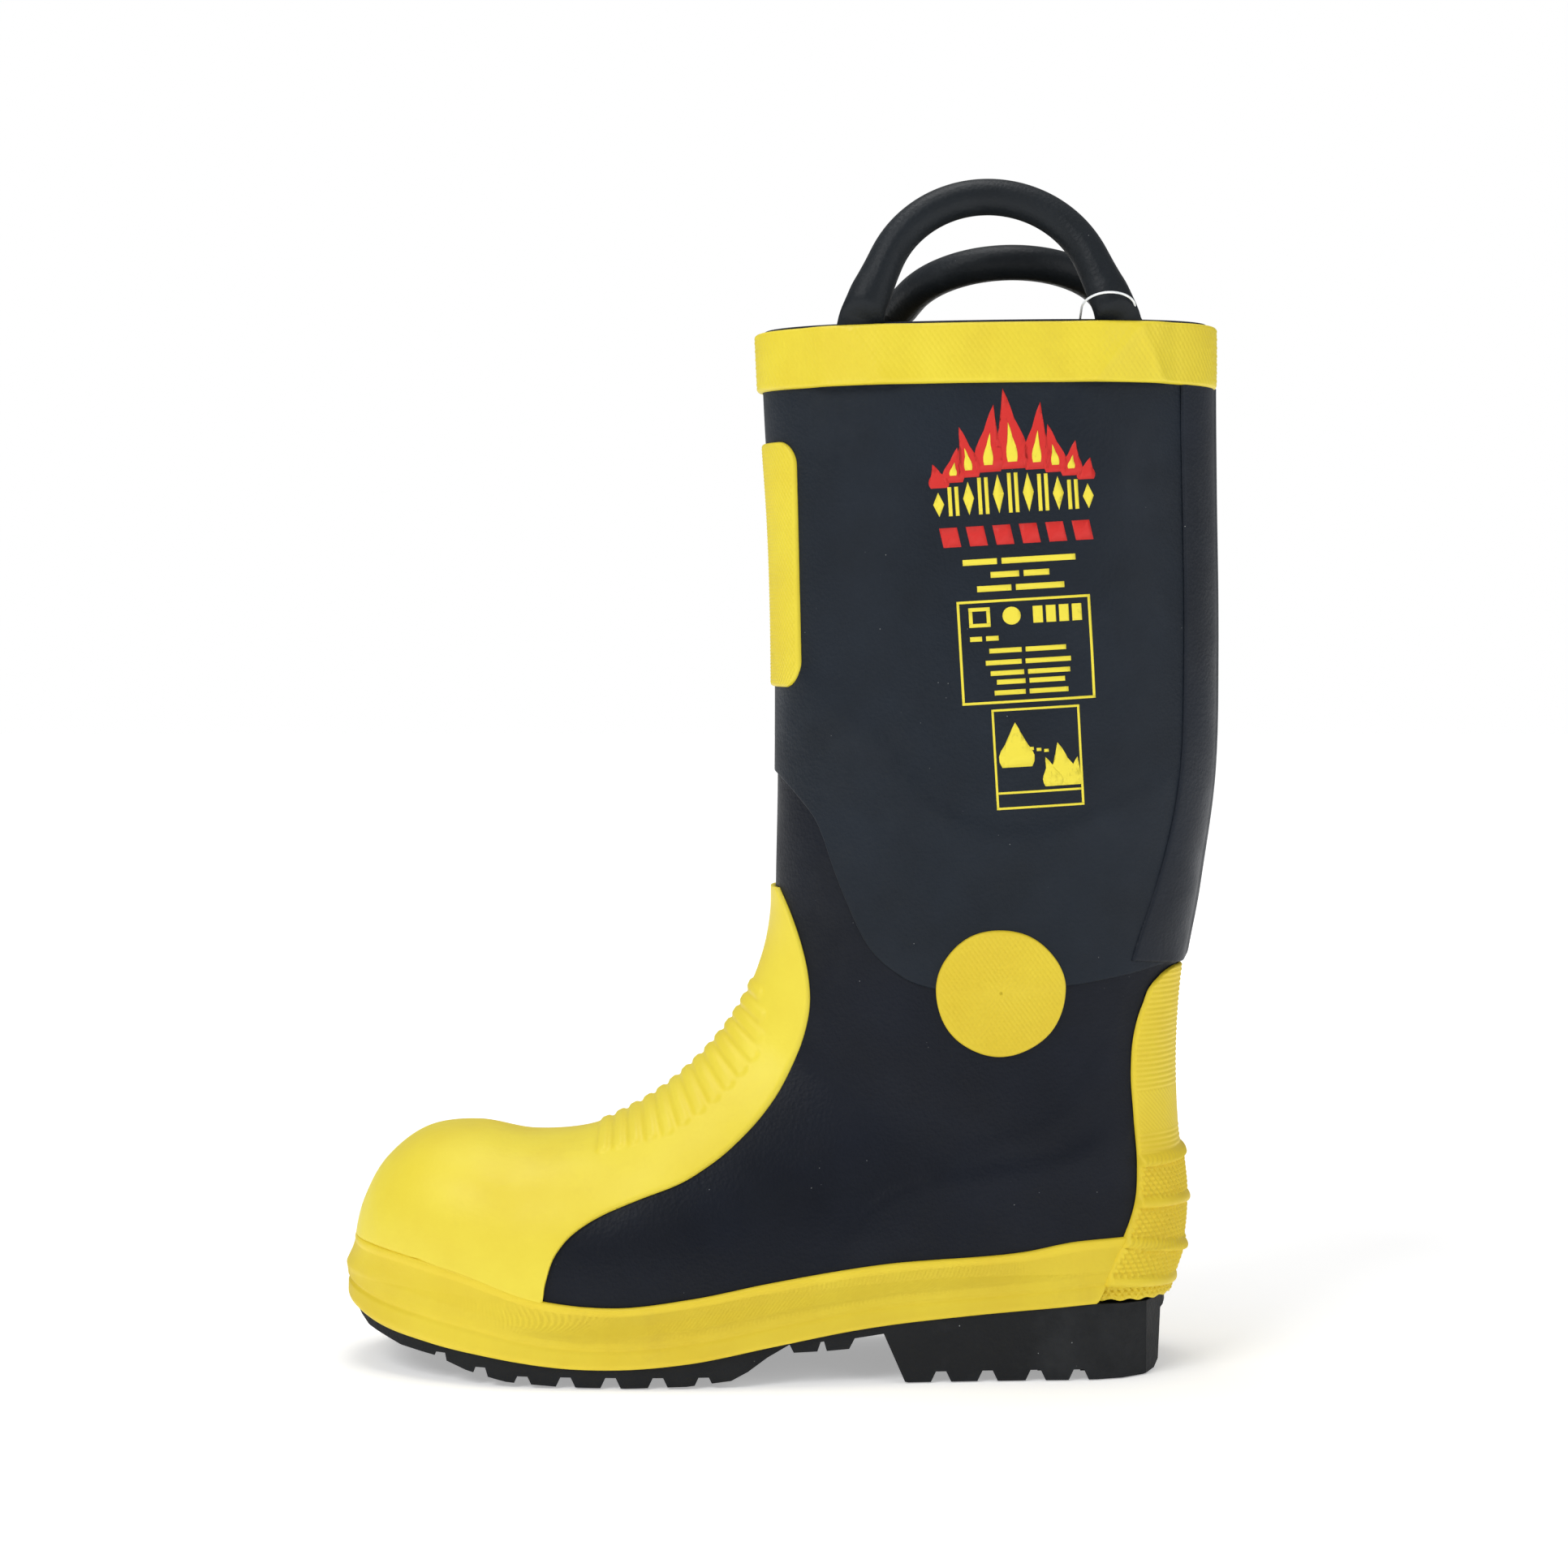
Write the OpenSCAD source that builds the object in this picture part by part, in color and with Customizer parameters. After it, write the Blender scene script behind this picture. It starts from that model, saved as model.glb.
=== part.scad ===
// Rubber fire boot with yellow guards: one left boot, built as separate
// layers on one shared boot surface. Millimetres, Z up, toe towards -X,
// outer (lateral) side towards -Y. The origin is the middle of the heel's
// ground contact.

/* [Overall] */
// Length of the sole from toe tip to heel back
boot_length = 300; // [260:1:330]
// Height of the shaft from the floor to the collar
shaft_height = 381; // [300:1:430]
// Width across the ball of the foot, guards included
ball_width = 105; // [90:1:120]

/* [Layers] */
// Thickness of the foot rubber
upper_t = 1.3; // [1:0.1:3]
// Thickness of the lapped leg sheet
leg_t = 1.15; // [0.8:0.05:2]
// Thickness of the yellow cover over toe and instep
cover_t = 1.8; // [1:0.1:3]
// Thickness of the heel guard
guard_t = 2; // [1:0.1:4]
// Thickness of the collar band
band_t = 1.9; // [1:0.1:3]
// Thickness of the hidden stiffening layer
stiff_t = 0.95; // [0.5:0.05:2]
// Thickness of the lining
lining_t = 0.95; // [0.5:0.05:2]
// Thickness of the steel toecap
steel_t = 1.8; // [1:0.1:2.5]
// Thickness of the removable footbed
footbed_t = 5; // [3:0.5:8]

/* [Guards] */
// Diameter of the ankle discs
disc_d = 46; // [30:1:60]
// Number of ribs over the instep
rib_count = 13; // [5:1:17]
// Height of the collar band
band_h = 22; // [15:1:30]

/* [Handles] */
// Diameter of the handle tube
handle_d = 13; // [10:0.5:16]
// Radius of the handle arch, on its centre line
handle_r = 40; // [35:0.1:50]
// Splay of the handle legs from upright
handle_splay = 23.5; // [5:0.5:30]
// Lean of the outer handle at rest
lean_lateral = 17; // [0:1:45]
// Lean of the inner handle at rest
lean_medial = 64; // [0:1:70]
// How much further back the inner handle sits
medial_shift = 11; // [0:0.5:15]

/* [Tread] */
// Width of the side grooves in the tread
groove_w = 5.5; // [3:0.5:8]
// Depth of the side grooves up from the ground
groove_h = 3.8; // [2:0.2:6]

/* [Hidden] */
$fn = 48;
kx = boot_length / 300;
ky = ball_width / 105;
kz = shaft_height / 381;
gap = 0.05;
fit = 0.3;

// Pivot in front of the instep: every foot section is a plane through it
px = -184;
pz = 178;

// Leg sections: height, front x, back x, half width lateral, half width medial
leg = [
  [379.6, 382, -97.6, 65.4, 42.5, 42.5],
  [345, 345, -95.9, 65.5, 43.5, 43.5],
  [305, 305, -93.3, 66.3, 44.5, 44.5],
  [262, 262, -92.2, 67, 45, 45],
  [218, 218, -92.3, 66.2, 44, 44]];
// Ankle and foot sections: angle below level, front radius, back radius,
// half widths lateral and medial, height of the widest line (0 = sole),
// squareness above and below it, sideways shift
fan = [
  [0, 91, 245, 41.5, 41.5, .5, 2.25, 2.25, 0],
  [7, 91.3, 241.8, 40.5, 40.5, .49, 2.25, 2.25, 0],
  [14, 91.6, 245, 39.5, 39.5, .47, 2.2, 2.3, 0],
  [20, 91.8, 254, 39.5, 39, .43, 2.2, 2.35, 0],
  [25.5, 92, 267.5, 40, 38.5, .38, 2.2, 2.4, 0],
  [30, 92, 275.2, 40, 38.5, .33, 2.2, 2.5, 0],
  [33.5, 92, 272.5, 40, 38, .3, 2.2, 3, 0],
  [38, 92, 243.5, 40.5, 37.5, .28, 2.2, 3.6, 0],
  [46, 92.2, 210.5, 42.5, 38, .27, 2.2, 4, -.5],
  [56, 92.9, 187.5, 46.5, 41, .28, 2.2, 4.2, -1],
  [66, 93.9, 174.5, 50, 45.5, .29, 2.2, 4.2, -1],
  [77, 95.6, 168.6, 51.5, 48.5, .32, 2.25, 4.2, 0],
  [90, 95.2, 164.6, 50.5, 49.5, .36, 2.3, 4.2, 1.5]];
// Toe sections: top x and z, bottom x and z, half widths, widest line,
// squareness above and below, sideways shift, share of forward offset
toe = [
  [-204.5, 85.9, -201, 15, 47.8, 48.6, .38, 2.35, 4, 3, 0],
  [-223.5, 83.3, -216, 18, 42, 44.5, .4, 2.35, 3.6, 4.2, .2],
  [-237.3, 72.5, -228, 21, 34, 37, .43, 2.3, 3.2, 5, .55],
  [-244.6, 58.5, -236.5, 23.5, 26, 28.5, .46, 2.25, 2.8, 5.5, .8],
  [-247.6, 45.5, -242, 25.5, 18, 19, .5, 2.2, 2.4, 6, .95],
  [-248.2, 36, -246, 28, 9, 9.5, .5, 2.2, 2.2, 6, 1],
  [-248.2, 31.5, -248.2, 31.5, 0.4, 0.4, .5, 2.2, 2.2, 6, 1]];
rows = concat(
  [for (g = leg) [g[2], g[0], g[3], g[1], g[4], g[5], .5, 2.3, 2.3, 0, 0]],
  [for (g = fan) [px + g[1] * cos(g[0]), pz - g[1] * sin(g[0]), px + g[2] * cos(g[0]),
    pz - g[2] * sin(g[0]), g[3], g[4], g[5], g[6], g[7], g[8], 0]],
  toe);
last = len(rows) - 1;

// One section blended between its neighbours
function row(v) =
  let (i = max(0, min(floor(v), last - 1)), t = v - i,
    a = rows[max(i - 1, 0)], b = rows[i], c = rows[i + 1], d = rows[min(i + 2, last)])
  .5 * (2 * b + (c - a) * t + (2 * a - 5 * b + 4 * c - d) * t * t + (3 * b - a - 3 * c + d) * t * t * t);

// Point of the boot surface: v runs from collar to toe tip, u goes round
// (0 front or top, 90 lateral, 180 back or sole, 270 medial), off is outwards
function pt(v, u, off = 0) =
  let (q = row(v), f = [q[0], q[1]], b = [q[2], q[3]], len0 = max(norm(f - b), 0.01),
    ax = (f - b) / len0, w = b + (f - b) * q[6], c = cos(u), s = sin(u),
    n = c >= 0 ? q[7] : q[8],
    lf = max(0, (c >= 0 ? len0 * (1 - q[6]) : len0 * q[6]) + off),
    wd = max(0, (s >= 0 ? q[4] : q[5]) + off),
    cc = sign(c) * pow(abs(c), 2 / n) * lf,
    ss = sign(s) * pow(abs(s), 2 / n) * wd)
  [(w[0] + ax[0] * cc - q[10] * off) * kx, (q[9] - ss) * ky, (w[1] + ax[1] * cc) * kz];

// Where f turns from plus to minus between a and b
function cross_at(f, a, b, n = 17) =
  n == 0 ? (a + b) / 2 :
  let (m = (a + b) / 2) f(m) > 0 ? cross_at(f, m, b, n - 1) : cross_at(f, a, m, n - 1);
// Section number at the back line, or at the leg's side, for a height
function v_back(z) = cross_at(function (v) pt(v, 180)[2] - z, 0, 11);
function v_leg(z) = cross_at(function (v) pt(v, 90)[2] - z, 0, 5);
function v_angle(a) = lookup(a, [for (i = [0:len(fan) - 1]) [fan[i][0], i + len(leg)]]);
// Point on one side (1 lateral, -1 medial) of section v at height zf(x)
function level(v, side, zf, off) =
  let (u = cross_at(function (u) let (p = pt(v, u, off)) p[2] - zf(p[0]), 0, 180))
  pt(v, side * u, off);
// Point on one side seen from the side at (x, z)
function side_pt(x, z, side, off) =
  let (v = cross_at(function (v) let (f = pt(v, 0, off), b = pt(v, 180, off))
      (b[0] - f[0]) * (z - f[2]) - (b[2] - f[2]) * (x - f[0]) < 0 ? 1 : -1, 2, 16),
    u = cross_at(function (u) let (p = pt(v, u, off), b = pt(v, 180, off), f = pt(v, 0, off))
      ((p[0] - x) * (f[0] - b[0]) + (p[2] - z) * (f[2] - b[2])), 0, 180))
  pt(v, side * u, off);

// Solid between an outer and an inner grid of points
module sheet(outer, inner, wrap = false, cap = false) {
  nr = len(outer);
  nc = len(outer[0]);
  base = nr * nc;
  cols = wrap ? nc - 1 : nc - 2;
  o = function (r, c) r * nc + (c % nc);
  n = function (r, c) base + r * nc + (c % nc);
  mid = function (ring) [for (k = [0:2]) let (s = [for (p = ring) p[k]]) (s * [for (p = ring) 1]) / nc];
  pts = concat([for (g = outer) each g], [for (g = inner) each g],
    cap ? [mid(outer[nr - 1]), mid(inner[nr - 1])] : []);
  faces = concat(
    [for (r = [0:nr - 2], c = [0:cols]) each [
      [o(r, c), o(r, c + 1), o(r + 1, c)], [o(r + 1, c), o(r, c + 1), o(r + 1, c + 1)],
      [n(r, c), n(r + 1, c), n(r, c + 1)], [n(r + 1, c), n(r + 1, c + 1), n(r, c + 1)]]],
    [for (c = [0:cols]) each [
      [o(0, c), n(0, c), o(0, c + 1)], [o(0, c + 1), n(0, c), n(0, c + 1)]]],
    [for (c = [0:cols]) each cap ?
      [[o(nr - 1, c), o(nr - 1, c + 1), 2 * base], [n(nr - 1, c), 2 * base + 1, n(nr - 1, c + 1)]] :
      [[o(nr - 1, c), o(nr - 1, c + 1), n(nr - 1, c)],
        [o(nr - 1, c + 1), n(nr - 1, c + 1), n(nr - 1, c)]]],
    wrap ? [] : [for (r = [0:nr - 2]) each [
      [o(r, 0), o(r + 1, 0), n(r, 0)], [o(r + 1, 0), n(r + 1, 0), n(r, 0)],
      [o(r, nc - 1), n(r, nc - 1), o(r + 1, nc - 1)],
      [o(r + 1, nc - 1), n(r, nc - 1), n(r + 1, nc - 1)]]]);
  polyhedron(pts, faces, convexity = 8);
}

// Solid through a run of closed cross-sections
module loft(secs) {
  ns = len(secs);
  k = len(secs[0]);
  mid = function (s) [for (i = [0:2]) ([for (p = s) p[i]] * [for (p = s) 1]) / k];
  pts = concat([for (s = secs) each s], [mid(secs[0]), mid(secs[ns - 1])]);
  faces = concat(
    [for (s = [0:ns - 2], i = [0:k - 1]) let (j = (i + 1) % k) each [
      [s * k + i, s * k + j, s * k + k + i], [s * k + k + i, s * k + j, s * k + k + j]]],
    [for (i = [0:k - 1]) let (j = (i + 1) % k) each [
      [i, ns * k, j], [(ns - 1) * k + i, (ns - 1) * k + j, ns * k + 1]]]);
  polyhedron(pts, faces, convexity = 8);
}

// All nested layers share these stations, so that their facets are parallel
sides = 28;
pitch = 360 / sides;
around = [for (i = [0:sides - 1]) i * pitch];
v_lap = 3.6;
foot_step = 0.75;
knots = concat([for (i = [0:5]) i * v_lap / 6], [for (i = [0:27]) v_lap + i * foot_step]);
// Stations from va to vb, with the shared ones between them
function stations(va, vb) = concat([va], [for (k = knots) if (k > va + .15 && k < vb - .15) k], [vb]);
// Layer point at any station: on the straight line between its shared neighbours
function layer_pt(v, u, off) =
  let (i = max([for (i = [0:len(knots) - 2]) if (knots[i] <= v) i]),
    t = (v - knots[i]) / (knots[i + 1] - knots[i]))
  t == 0 ? pt(v, u, off) : pt(knots[i], u, off) * (1 - t) + pt(knots[i + 1], u, off) * t;
// Full tube from section va to vb between two offsets
module tube(va, vb, off_out, off_in, cap = false) {
  vs = stations(va, vb);
  sheet([for (v = vs) [for (u = around) layer_pt(v, u, off_out)]],
    [for (v = vs) [for (u = around) layer_pt(v, u, off_in)]], true, cap);
}
// Patch of the surface between two offsets, round from side ca to side cb
module patch(va, vb, ca, cb, off_out, off_in) {
  vs = stations(va, vb);
  us = [for (i = [ca:cb]) i * pitch];
  sheet([for (v = vs) [for (u = us) layer_pt(v, u, off_out)]],
    [for (v = vs) [for (u = us) layer_pt(v, u, off_in)]]);
}

// Layer offsets, outwards from the foot rubber's face
stiff_out = -upper_t - gap;
stiff_in = stiff_out - stiff_t;
lining_out = stiff_in - gap;
lining_in = lining_out - lining_t;
cap_in = stiff_out - steel_t;
leg_out = gap + leg_t;
seam_gap = 0.03;
v_felt_end = knots[7];
v_ankle_end = knots[12];
v_counter_end = knots[16];
v_board_end = knots[25];
v_strip_start = knots[24];
v_lining_end = knots[31];
v_foot_end = knots[33];
// The lining steps in behind the toecap
function cap_step(v) = lookup(v, [[knots[23], 0], [v_strip_start, cap_in - stiff_in]]);

// Height of the leg sheet's lower edge, by x
seam = [[-100, 219], [-93.3, 218.5], [-84.4, 210.2], [-78.6, 200.4], [-71.4, 180.4],
  [-62.7, 160.3], [-49.6, 147.2], [-36.5, 142.5], [12.6, 143.3], [34.8, 146.7], [50, 150], [75, 150]];
// x of the toe cover's rear edge, by height
cover_edge = [[25, -177], [38, -175.4], [50, -170.8], [56, -165.5], [62, -156.2], [68, -142], [73, -128.5],
  [79, -118], [90, -104.6], [102, -94.5], [113, -88.4], [125, -83.8], [136, -81.8],
  [147, -82.6], [158, -85.3], [169, -89.4], [178.5, -94]];
// Top and bottom heights of the foxing strip, by x
fox_top = [[-260, 48.5], [-246.5, 48.5], [-235, 46.9], [-209, 41.4], [-176.6, 31.3], [-149.8, 29.1],
  [-123.7, 32.1], [-94.7, 37.1], [-50.7, 43], [8, 46.7], [60, 49]];
fox_bottom = [[-260, 26], [-252, 25.5], [-247, 22], [-239.4, 18.4], [-219, 13.8], [-197, 10.6],
  [-167, 7.1], [-147, 7], [-124, 9.1], [-95, 14.4], [-65.4, 19.6], [-21.3, 23.6], [8, 25.1], [60, 26.5]];
// How far the foxing bulges outside the upper, and the sole edge too, by x
fox_bulge = [[-250, 4.3], [-235, 3.4], [-210, 2.7], [60, 2.6]];
sole_edge = [[-250, 1.3], [-235, 0.7], [-215, 0.2], [60, 0.2]];
// Height where the foot is widest, by x
edge_height = [[-250, 34], [-200, 32], [-147, 30], [-50, 38], [20, 40], [36, 38], [50, 33], [60, 33]];
// x of the heel guard's front edge, by height
guard_edge = [[24, 20.5], [36, 27], [48, 34], [59, 36.7], [74, 39], [94, 37.7], [112, 36.5], [124, 37.5],
  [135, 40.8], [144, 46], [148, 52], [149, 55]];
function top_z(x) = lookup(x / kx, fox_top) * kz;
function bottom_z(x) = lookup(x / kx, fox_bottom) * kz;

// Plan outline of the sole edge, at the height where the foot is widest;
// stations are closer together round the heel and the toe
function edge_z(x) = lookup(x / kx, edge_height) * kz;
function sole_off(x) = lookup(x / kx, sole_edge);
v_heel = cross_at(function (v) let (p = pt(v, 180)) p[2] - edge_z(p[0]), 0, 11);
v_tip = cross_at(function (v) let (p = pt(v, 0)) p[2] - edge_z(p[0]), 19, last);
function station(t) = t < .25 ? v_heel + (12 - v_heel) * pow(t / .25, 2) : 12 + (v_tip - 12) * (t - .25) / .75;
// Foot edge point at section v, moved out by off and set at height z
function edge_pt(v, side, off) = level(v, side, function (x) edge_z(x), off);
function at_z(p, z) = [p[0], p[1], z];
function sole_pt(t, side, off) = let (v = station(t), p = edge_pt(v, side, 0)) edge_pt(v, side, off + sole_off(p[0]));
function sole_outline(off, n = 26) = concat(
  [for (i = [0:n]) let (p = sole_pt(i / n, 1, off)) [p[0], p[1]]],
  [for (i = [n - 1:-1:1]) let (p = sole_pt(i / n, -1, off)) [p[0], p[1]]]);

// Foot bottom line from heel to toe
function bottom_line(dz) = [for (k = [16:33]) let (p = pt(knots[k], 180)) [p[0], p[2] + dz * kz]];
module side_prism(points) {
  translate([0, 90, 0]) rotate([90, 0, 0]) linear_extrude(height = 180) polygon(points);
}
module plan_prism(off, z0, z1) {
  translate([0, 0, z0]) linear_extrude(height = z1 - z0) polygon(sole_outline(off));
}
// Layer lying under the foot, between two depths below it
module under_layer(off, depth0, depth1, x0, x1) {
  line = bottom_line(-depth0);
  low = bottom_line(-depth1);
  n = len(line);
  intersection() {
    plan_prism(off, -5, 60);
    side_prism(concat([[60, line[0][1]]], line, [[-262, line[n - 1][1]], [-262, low[n - 1][1]]],
      [for (i = [n - 1:-1:0]) low[i]], [[60, low[0][1]]]));
    translate([x0, -80, -10]) cube([x1 - x0, 160, 90]);
  }
}

// Side profile of the tread: toe spring, forefoot, arch with two lugs, heel
tread_line = [[-254, 25.4], [-249.8, 21.5], [-243, 15.6], [-230, 11], [-216, 9], [-205, 5], [-190, 1.6], [-170, .3],
  [-147, 0], [-125, .6], [-109, 2.4], [-103, 5.5], [-96, 10.5], [-88, 15], [-86.5, 12], [-78, 12.2],
  [-76.8, 15.6], [-75.6, 15.8], [-74.6, 12.3], [-66.5, 12.8], [-64.5, 16.6], [-54, 18], [-46.3, .3],
  [-45, 0], [41, 0], [46, .8], [47.8, 3.4], [48.8, 22], [60, 30]];
groove_x = [-214.5, -199.5, -184, -168.4, -152.2, -135.2, -118.8];
heel_groove_x = [-33.2, -16.3, 1.2, 16.9];
// Straight-sided groove that widens towards the ground
module groove(x, side, y0, h) {
  translate([x * kx, side > 0 ? y0 + 45 : -y0, -1]) rotate([90, 0, 0]) linear_extrude(height = 45)
    polygon([[-groove_w / 2 - 1.4, 0], [groove_w / 2 + 1.4, 0],
      [groove_w / 2 - .9, h + 1], [-groove_w / 2 + .9, h + 1]]);
}
function rise(x) = max(0, (-x - 190) * 0.27);

module outsole() {
  top = bottom_line(-gap * 2);
  n = len(top);
  color([0.13, 0.13, 0.14])
  difference() {
    intersection() {
      plan_prism(0.2, -5, 60);
      side_prism(concat(tread_line, [[60, top[0][1]]], top, [[-262, top[n - 1][1]]]));
    }
    // recess for the midsole layers
    under_layer(-7, -1, 4.4, -232, 34);
    // heel core pocket
    translate([-36, -24, 7]) cube([66, 48, 40]);
    // side grooves of the forefoot and of the heel
    for (x = groove_x, side = [-1, 1]) groove(x, side, 27, groove_h + rise(x));
    for (x = heel_groove_x, side = [-1, 1]) groove(x, side, 24, groove_h);
    // cross grooves, angled like a cleated tread
    for (x = groove_x, side = [-1, 1])
      translate([x * kx + 14, 0, -1]) rotate([0, 0, side * 116])
        translate([0, -1.6, 0]) cube([32, 3.2, groove_h + .6 + rise(x)]);
    for (x = heel_groove_x, side = [-1, 1])
      translate([x * kx + 9, 0, -1]) rotate([0, 0, side * 110])
        translate([5, -1.4, 0]) cube([21, 2.8, groove_h + .4]);
  }
}

module heel_core() {
  color([0.55, 0.42, 0.28])
  translate([-35.8, -23.8, 7.2]) cube([65.6, 47.6, 14.5]);
}

module midsole_filler() {
  color([0.5, 0.4, 0.3]) under_layer(-7.3, 1.4, 4.25, -231.7, 33.7);
}

module steel_midsole() {
  color([0.6, 0.62, 0.65]) under_layer(-7.3, 0.3, 1.3, -231.7, 33.7);
}

module insole_board() {
  color([0.62, 0.48, 0.33]) patch(v_counter_end + seam_gap, v_board_end, 10, 18, stiff_out, stiff_in);
}

// Removable cupped footbed on the lining
module footbed() {
  vs = stations(11.6, knots[30]);
  us = [for (i = [10:18]) i * pitch];
  low = function (v) lining_in + cap_step(v) - .6;
  thick = function (u) 1.4 + (footbed_t - 1.4) * pow(max(0, sin((u - 120) * 1.5)), .6);
  color([0.24, 0.26, 0.3])
  sheet([for (v = vs) [for (u = us) layer_pt(v, u, low(v))]],
    [for (v = vs) [for (u = us) layer_pt(v, u, low(v) - thick(u))]]);
}

module foot_upper() {
  color([0.17, 0.19, 0.22]) tube(v_lap, v_foot_end, 0, -upper_t, true);
}

module leg_upper() {
  us = [for (i = [0:41]) i * 360 / 42];
  v_end = function (u) cross_at(function (v) let (p = pt(v, u, leg_out)) p[2] - lookup(p[0] / kx, seam) * kz, 2, 14);
  ends = [for (u = us) v_end(u)];
  n = 13;
  color([0.19, 0.21, 0.25])
  sheet([for (r = [0:n]) [for (c = [0:41]) pt(ends[c] * r / n, us[c], leg_out)]],
    [for (r = [0:n]) [for (c = [0:41]) pt(ends[c] * r / n, us[c], fit + .05)]], true);
}

module leg_inner_ply() {
  color([0.22, 0.22, 0.24]) tube(0, v_lap - seam_gap, 0, -upper_t);
}

module leg_insulation() {
  color([0.75, 0.72, 0.66]) tube(0.1, v_felt_end, stiff_out, stiff_in);
}

// Hidden plies round the ankle, on both sides and the back
module ankle_reinforcement() {
  color([0.3, 0.3, 0.3]) patch(v_felt_end + seam_gap, v_ankle_end, 4, 24, stiff_out, stiff_in);
}

module heel_counter() {
  color([0.5, 0.45, 0.38]) patch(v_ankle_end + seam_gap, v_counter_end, 8, 20, stiff_out, stiff_in);
}

module steel_toecap() {
  vs = stations(v_board_end + seam_gap, v_foot_end);
  us = [for (i = [-10:10]) i * pitch];
  color([0.62, 0.64, 0.66])
  sheet([for (v = vs) [for (u = us) layer_pt(v, u, stiff_out - gap)]],
    [for (v = vs) [for (u = us) layer_pt(v, u, cap_in)]]);
}

// Soft strip that softens the rear edge of the toecap
module toecap_edge_strip() {
  color([0.35, 0.33, 0.3]) patch(v_strip_start, v_board_end - seam_gap, -8, 8, stiff_out, stiff_in);
}

// Lining from collar to toe, stepping in behind the toecap
module lining() {
  vs = stations(0.1, v_lining_end);
  color([0.82, 0.78, 0.62])
  sheet([for (v = vs) [for (u = around) layer_pt(v, u, lining_out + cap_step(v))]],
    [for (v = vs) [for (u = around) layer_pt(v, u, lining_in + cap_step(v))]], true, true);
}

// Yellow cover over toe and instep, with its ribs
module toe_vamp_cover() {
  v_end = cross_at(function (v) let (p = pt(v, 0)) p[2] - top_z(p[0]) - 2, 18, last);
  edge = function (v) max(1.5, cross_at(function (u) let (p = pt(v, u, cover_t))
    min(lookup(p[2] / kz, cover_edge) * kx - p[0], p[2] - top_z(p[0]) - 1.2), 0, 178));
  n = 26;
  m = 24;
  vs = [for (i = [0:n]) 5.05 + (v_end - 5.05) * i / n];
  es = [for (v = vs) edge(v)];
  color([0.93, 0.84, 0.27]) {
    sheet([for (r = [0:n]) [for (c = [0:m]) pt(vs[r], es[r] * (2 * c / m - 1), cover_t)]],
      [for (r = [0:n]) [for (c = [0:m]) pt(vs[r], es[r] * (2 * c / m - 1), fit * 4)]]);
    for (k = [0:rib_count - 1]) instep_rib(25 + 48 * k / (rib_count - 1));
  }
}

module instep_rib(a) {
  vs = [v_angle(a - 1.4), v_angle(a), v_angle(a + 1.4)];
  reach = lookup(a, [[25, 28], [73, 34]]);
  us = [for (i = [0:6]) -reach + 2 * reach * i / 6];
  lift = function (r, c) (r == 1 ? 1 : .1) * (c == 0 || c == 6 ? .1 : .9);
  sheet([for (r = [0:2]) [for (c = [0:6]) pt(vs[r], us[c], cover_t + lift(r, c))]],
    [for (r = [0:2]) [for (c = [0:6]) pt(vs[r], us[c], cover_t - .6)]]);
}

// Yellow strip wrapped round the joint of upper and sole
module foxing_strip() {
  n = 32;
  top_of = function (x) top_z(x);
  // the ends follow the slant of the heel guard's front edge
  va_top = cross_at(function (v) level(v, 1, top_of, 1)[0] - 26.5 * kx, 9, 14);
  va_low = cross_at(function (v) edge_pt(v, 1, 1)[0] - 18.2 * kx, 10.8, 14);
  z_tip = top_z(-250 * kx);
  // section of a line that starts a share of the way down the heel end
  // and reaches the toe's middle at height z
  line_v = function (t, z, share = 0) let (start = va_top + (va_low - va_top) * share)
    start + (cross_at(function (v) pt(v, 0)[2] - z, 18, last) - start) * t;
  ring = function (t, side) let (
    vt = line_v(t, z_tip),
    clear = lookup(t, [[.85, fit * 3], [1, 1.7]]),
    vl = va_low + (v_tip - va_low) * t,
    a = level(vt, side, top_of, clear - fit),
    b = level(vt, side, top_of, clear + .8),
    c = level(line_v(t, z_tip - 2.5), side, function (x) top_z(x) - 2.5, clear + 1.1),
    e = edge_pt(vl, side, 0),
    low = bottom_z(e[0]),
    mid = low + (top_z(e[0]) - low) * .5,
    bulge = lookup(e[0] / kx, fox_bulge))
    [a, b, c, at_z(edge_pt(vl, side, bulge), mid), at_z(edge_pt(vl, side, bulge - .3), low + 1),
      at_z(edge_pt(vl, side, bulge - .9), low), at_z(edge_pt(vl, side, sole_off(e[0]) + .6), low),
      at_z(edge_pt(vl, side, max(fit * 3, sole_off(e[0]) + .6)), mid),
      level(line_v(t, z_tip - 5.6, .6), side, function (x) top_z(x) - (top_z(e[0]) - low) / 4, clear)];
  color([0.9, 0.8, 0.24])
  loft(concat([for (i = [0:n]) ring(i / n, 1)], [for (i = [n - 1:-1:0]) ring(i / n, -1)]));
}

// Point of the heel at height z, from the side edge (0) round to the back (1)
heel_low = 33;
function heel_pt(z, f, side, off) =
  let (zz = max(z, heel_low * kz), v0 = cross_at(function (v) pt(v, 180, off)[2] - zz, 0, 11),
    xe = lookup(z / kz, guard_edge) * kx,
    v1 = cross_at(function (v) level(v, 1, function (x) zz, off)[0] - xe, v0 + .01, 13),
    v = v1 + (v0 - v1) * (1 - pow(1 - f, 1.6)),
    p = f == 1 ? pt(v0, 180, off) : level(v, side, function (x) zz, off))
  [p[0], p[1], z];

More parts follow.
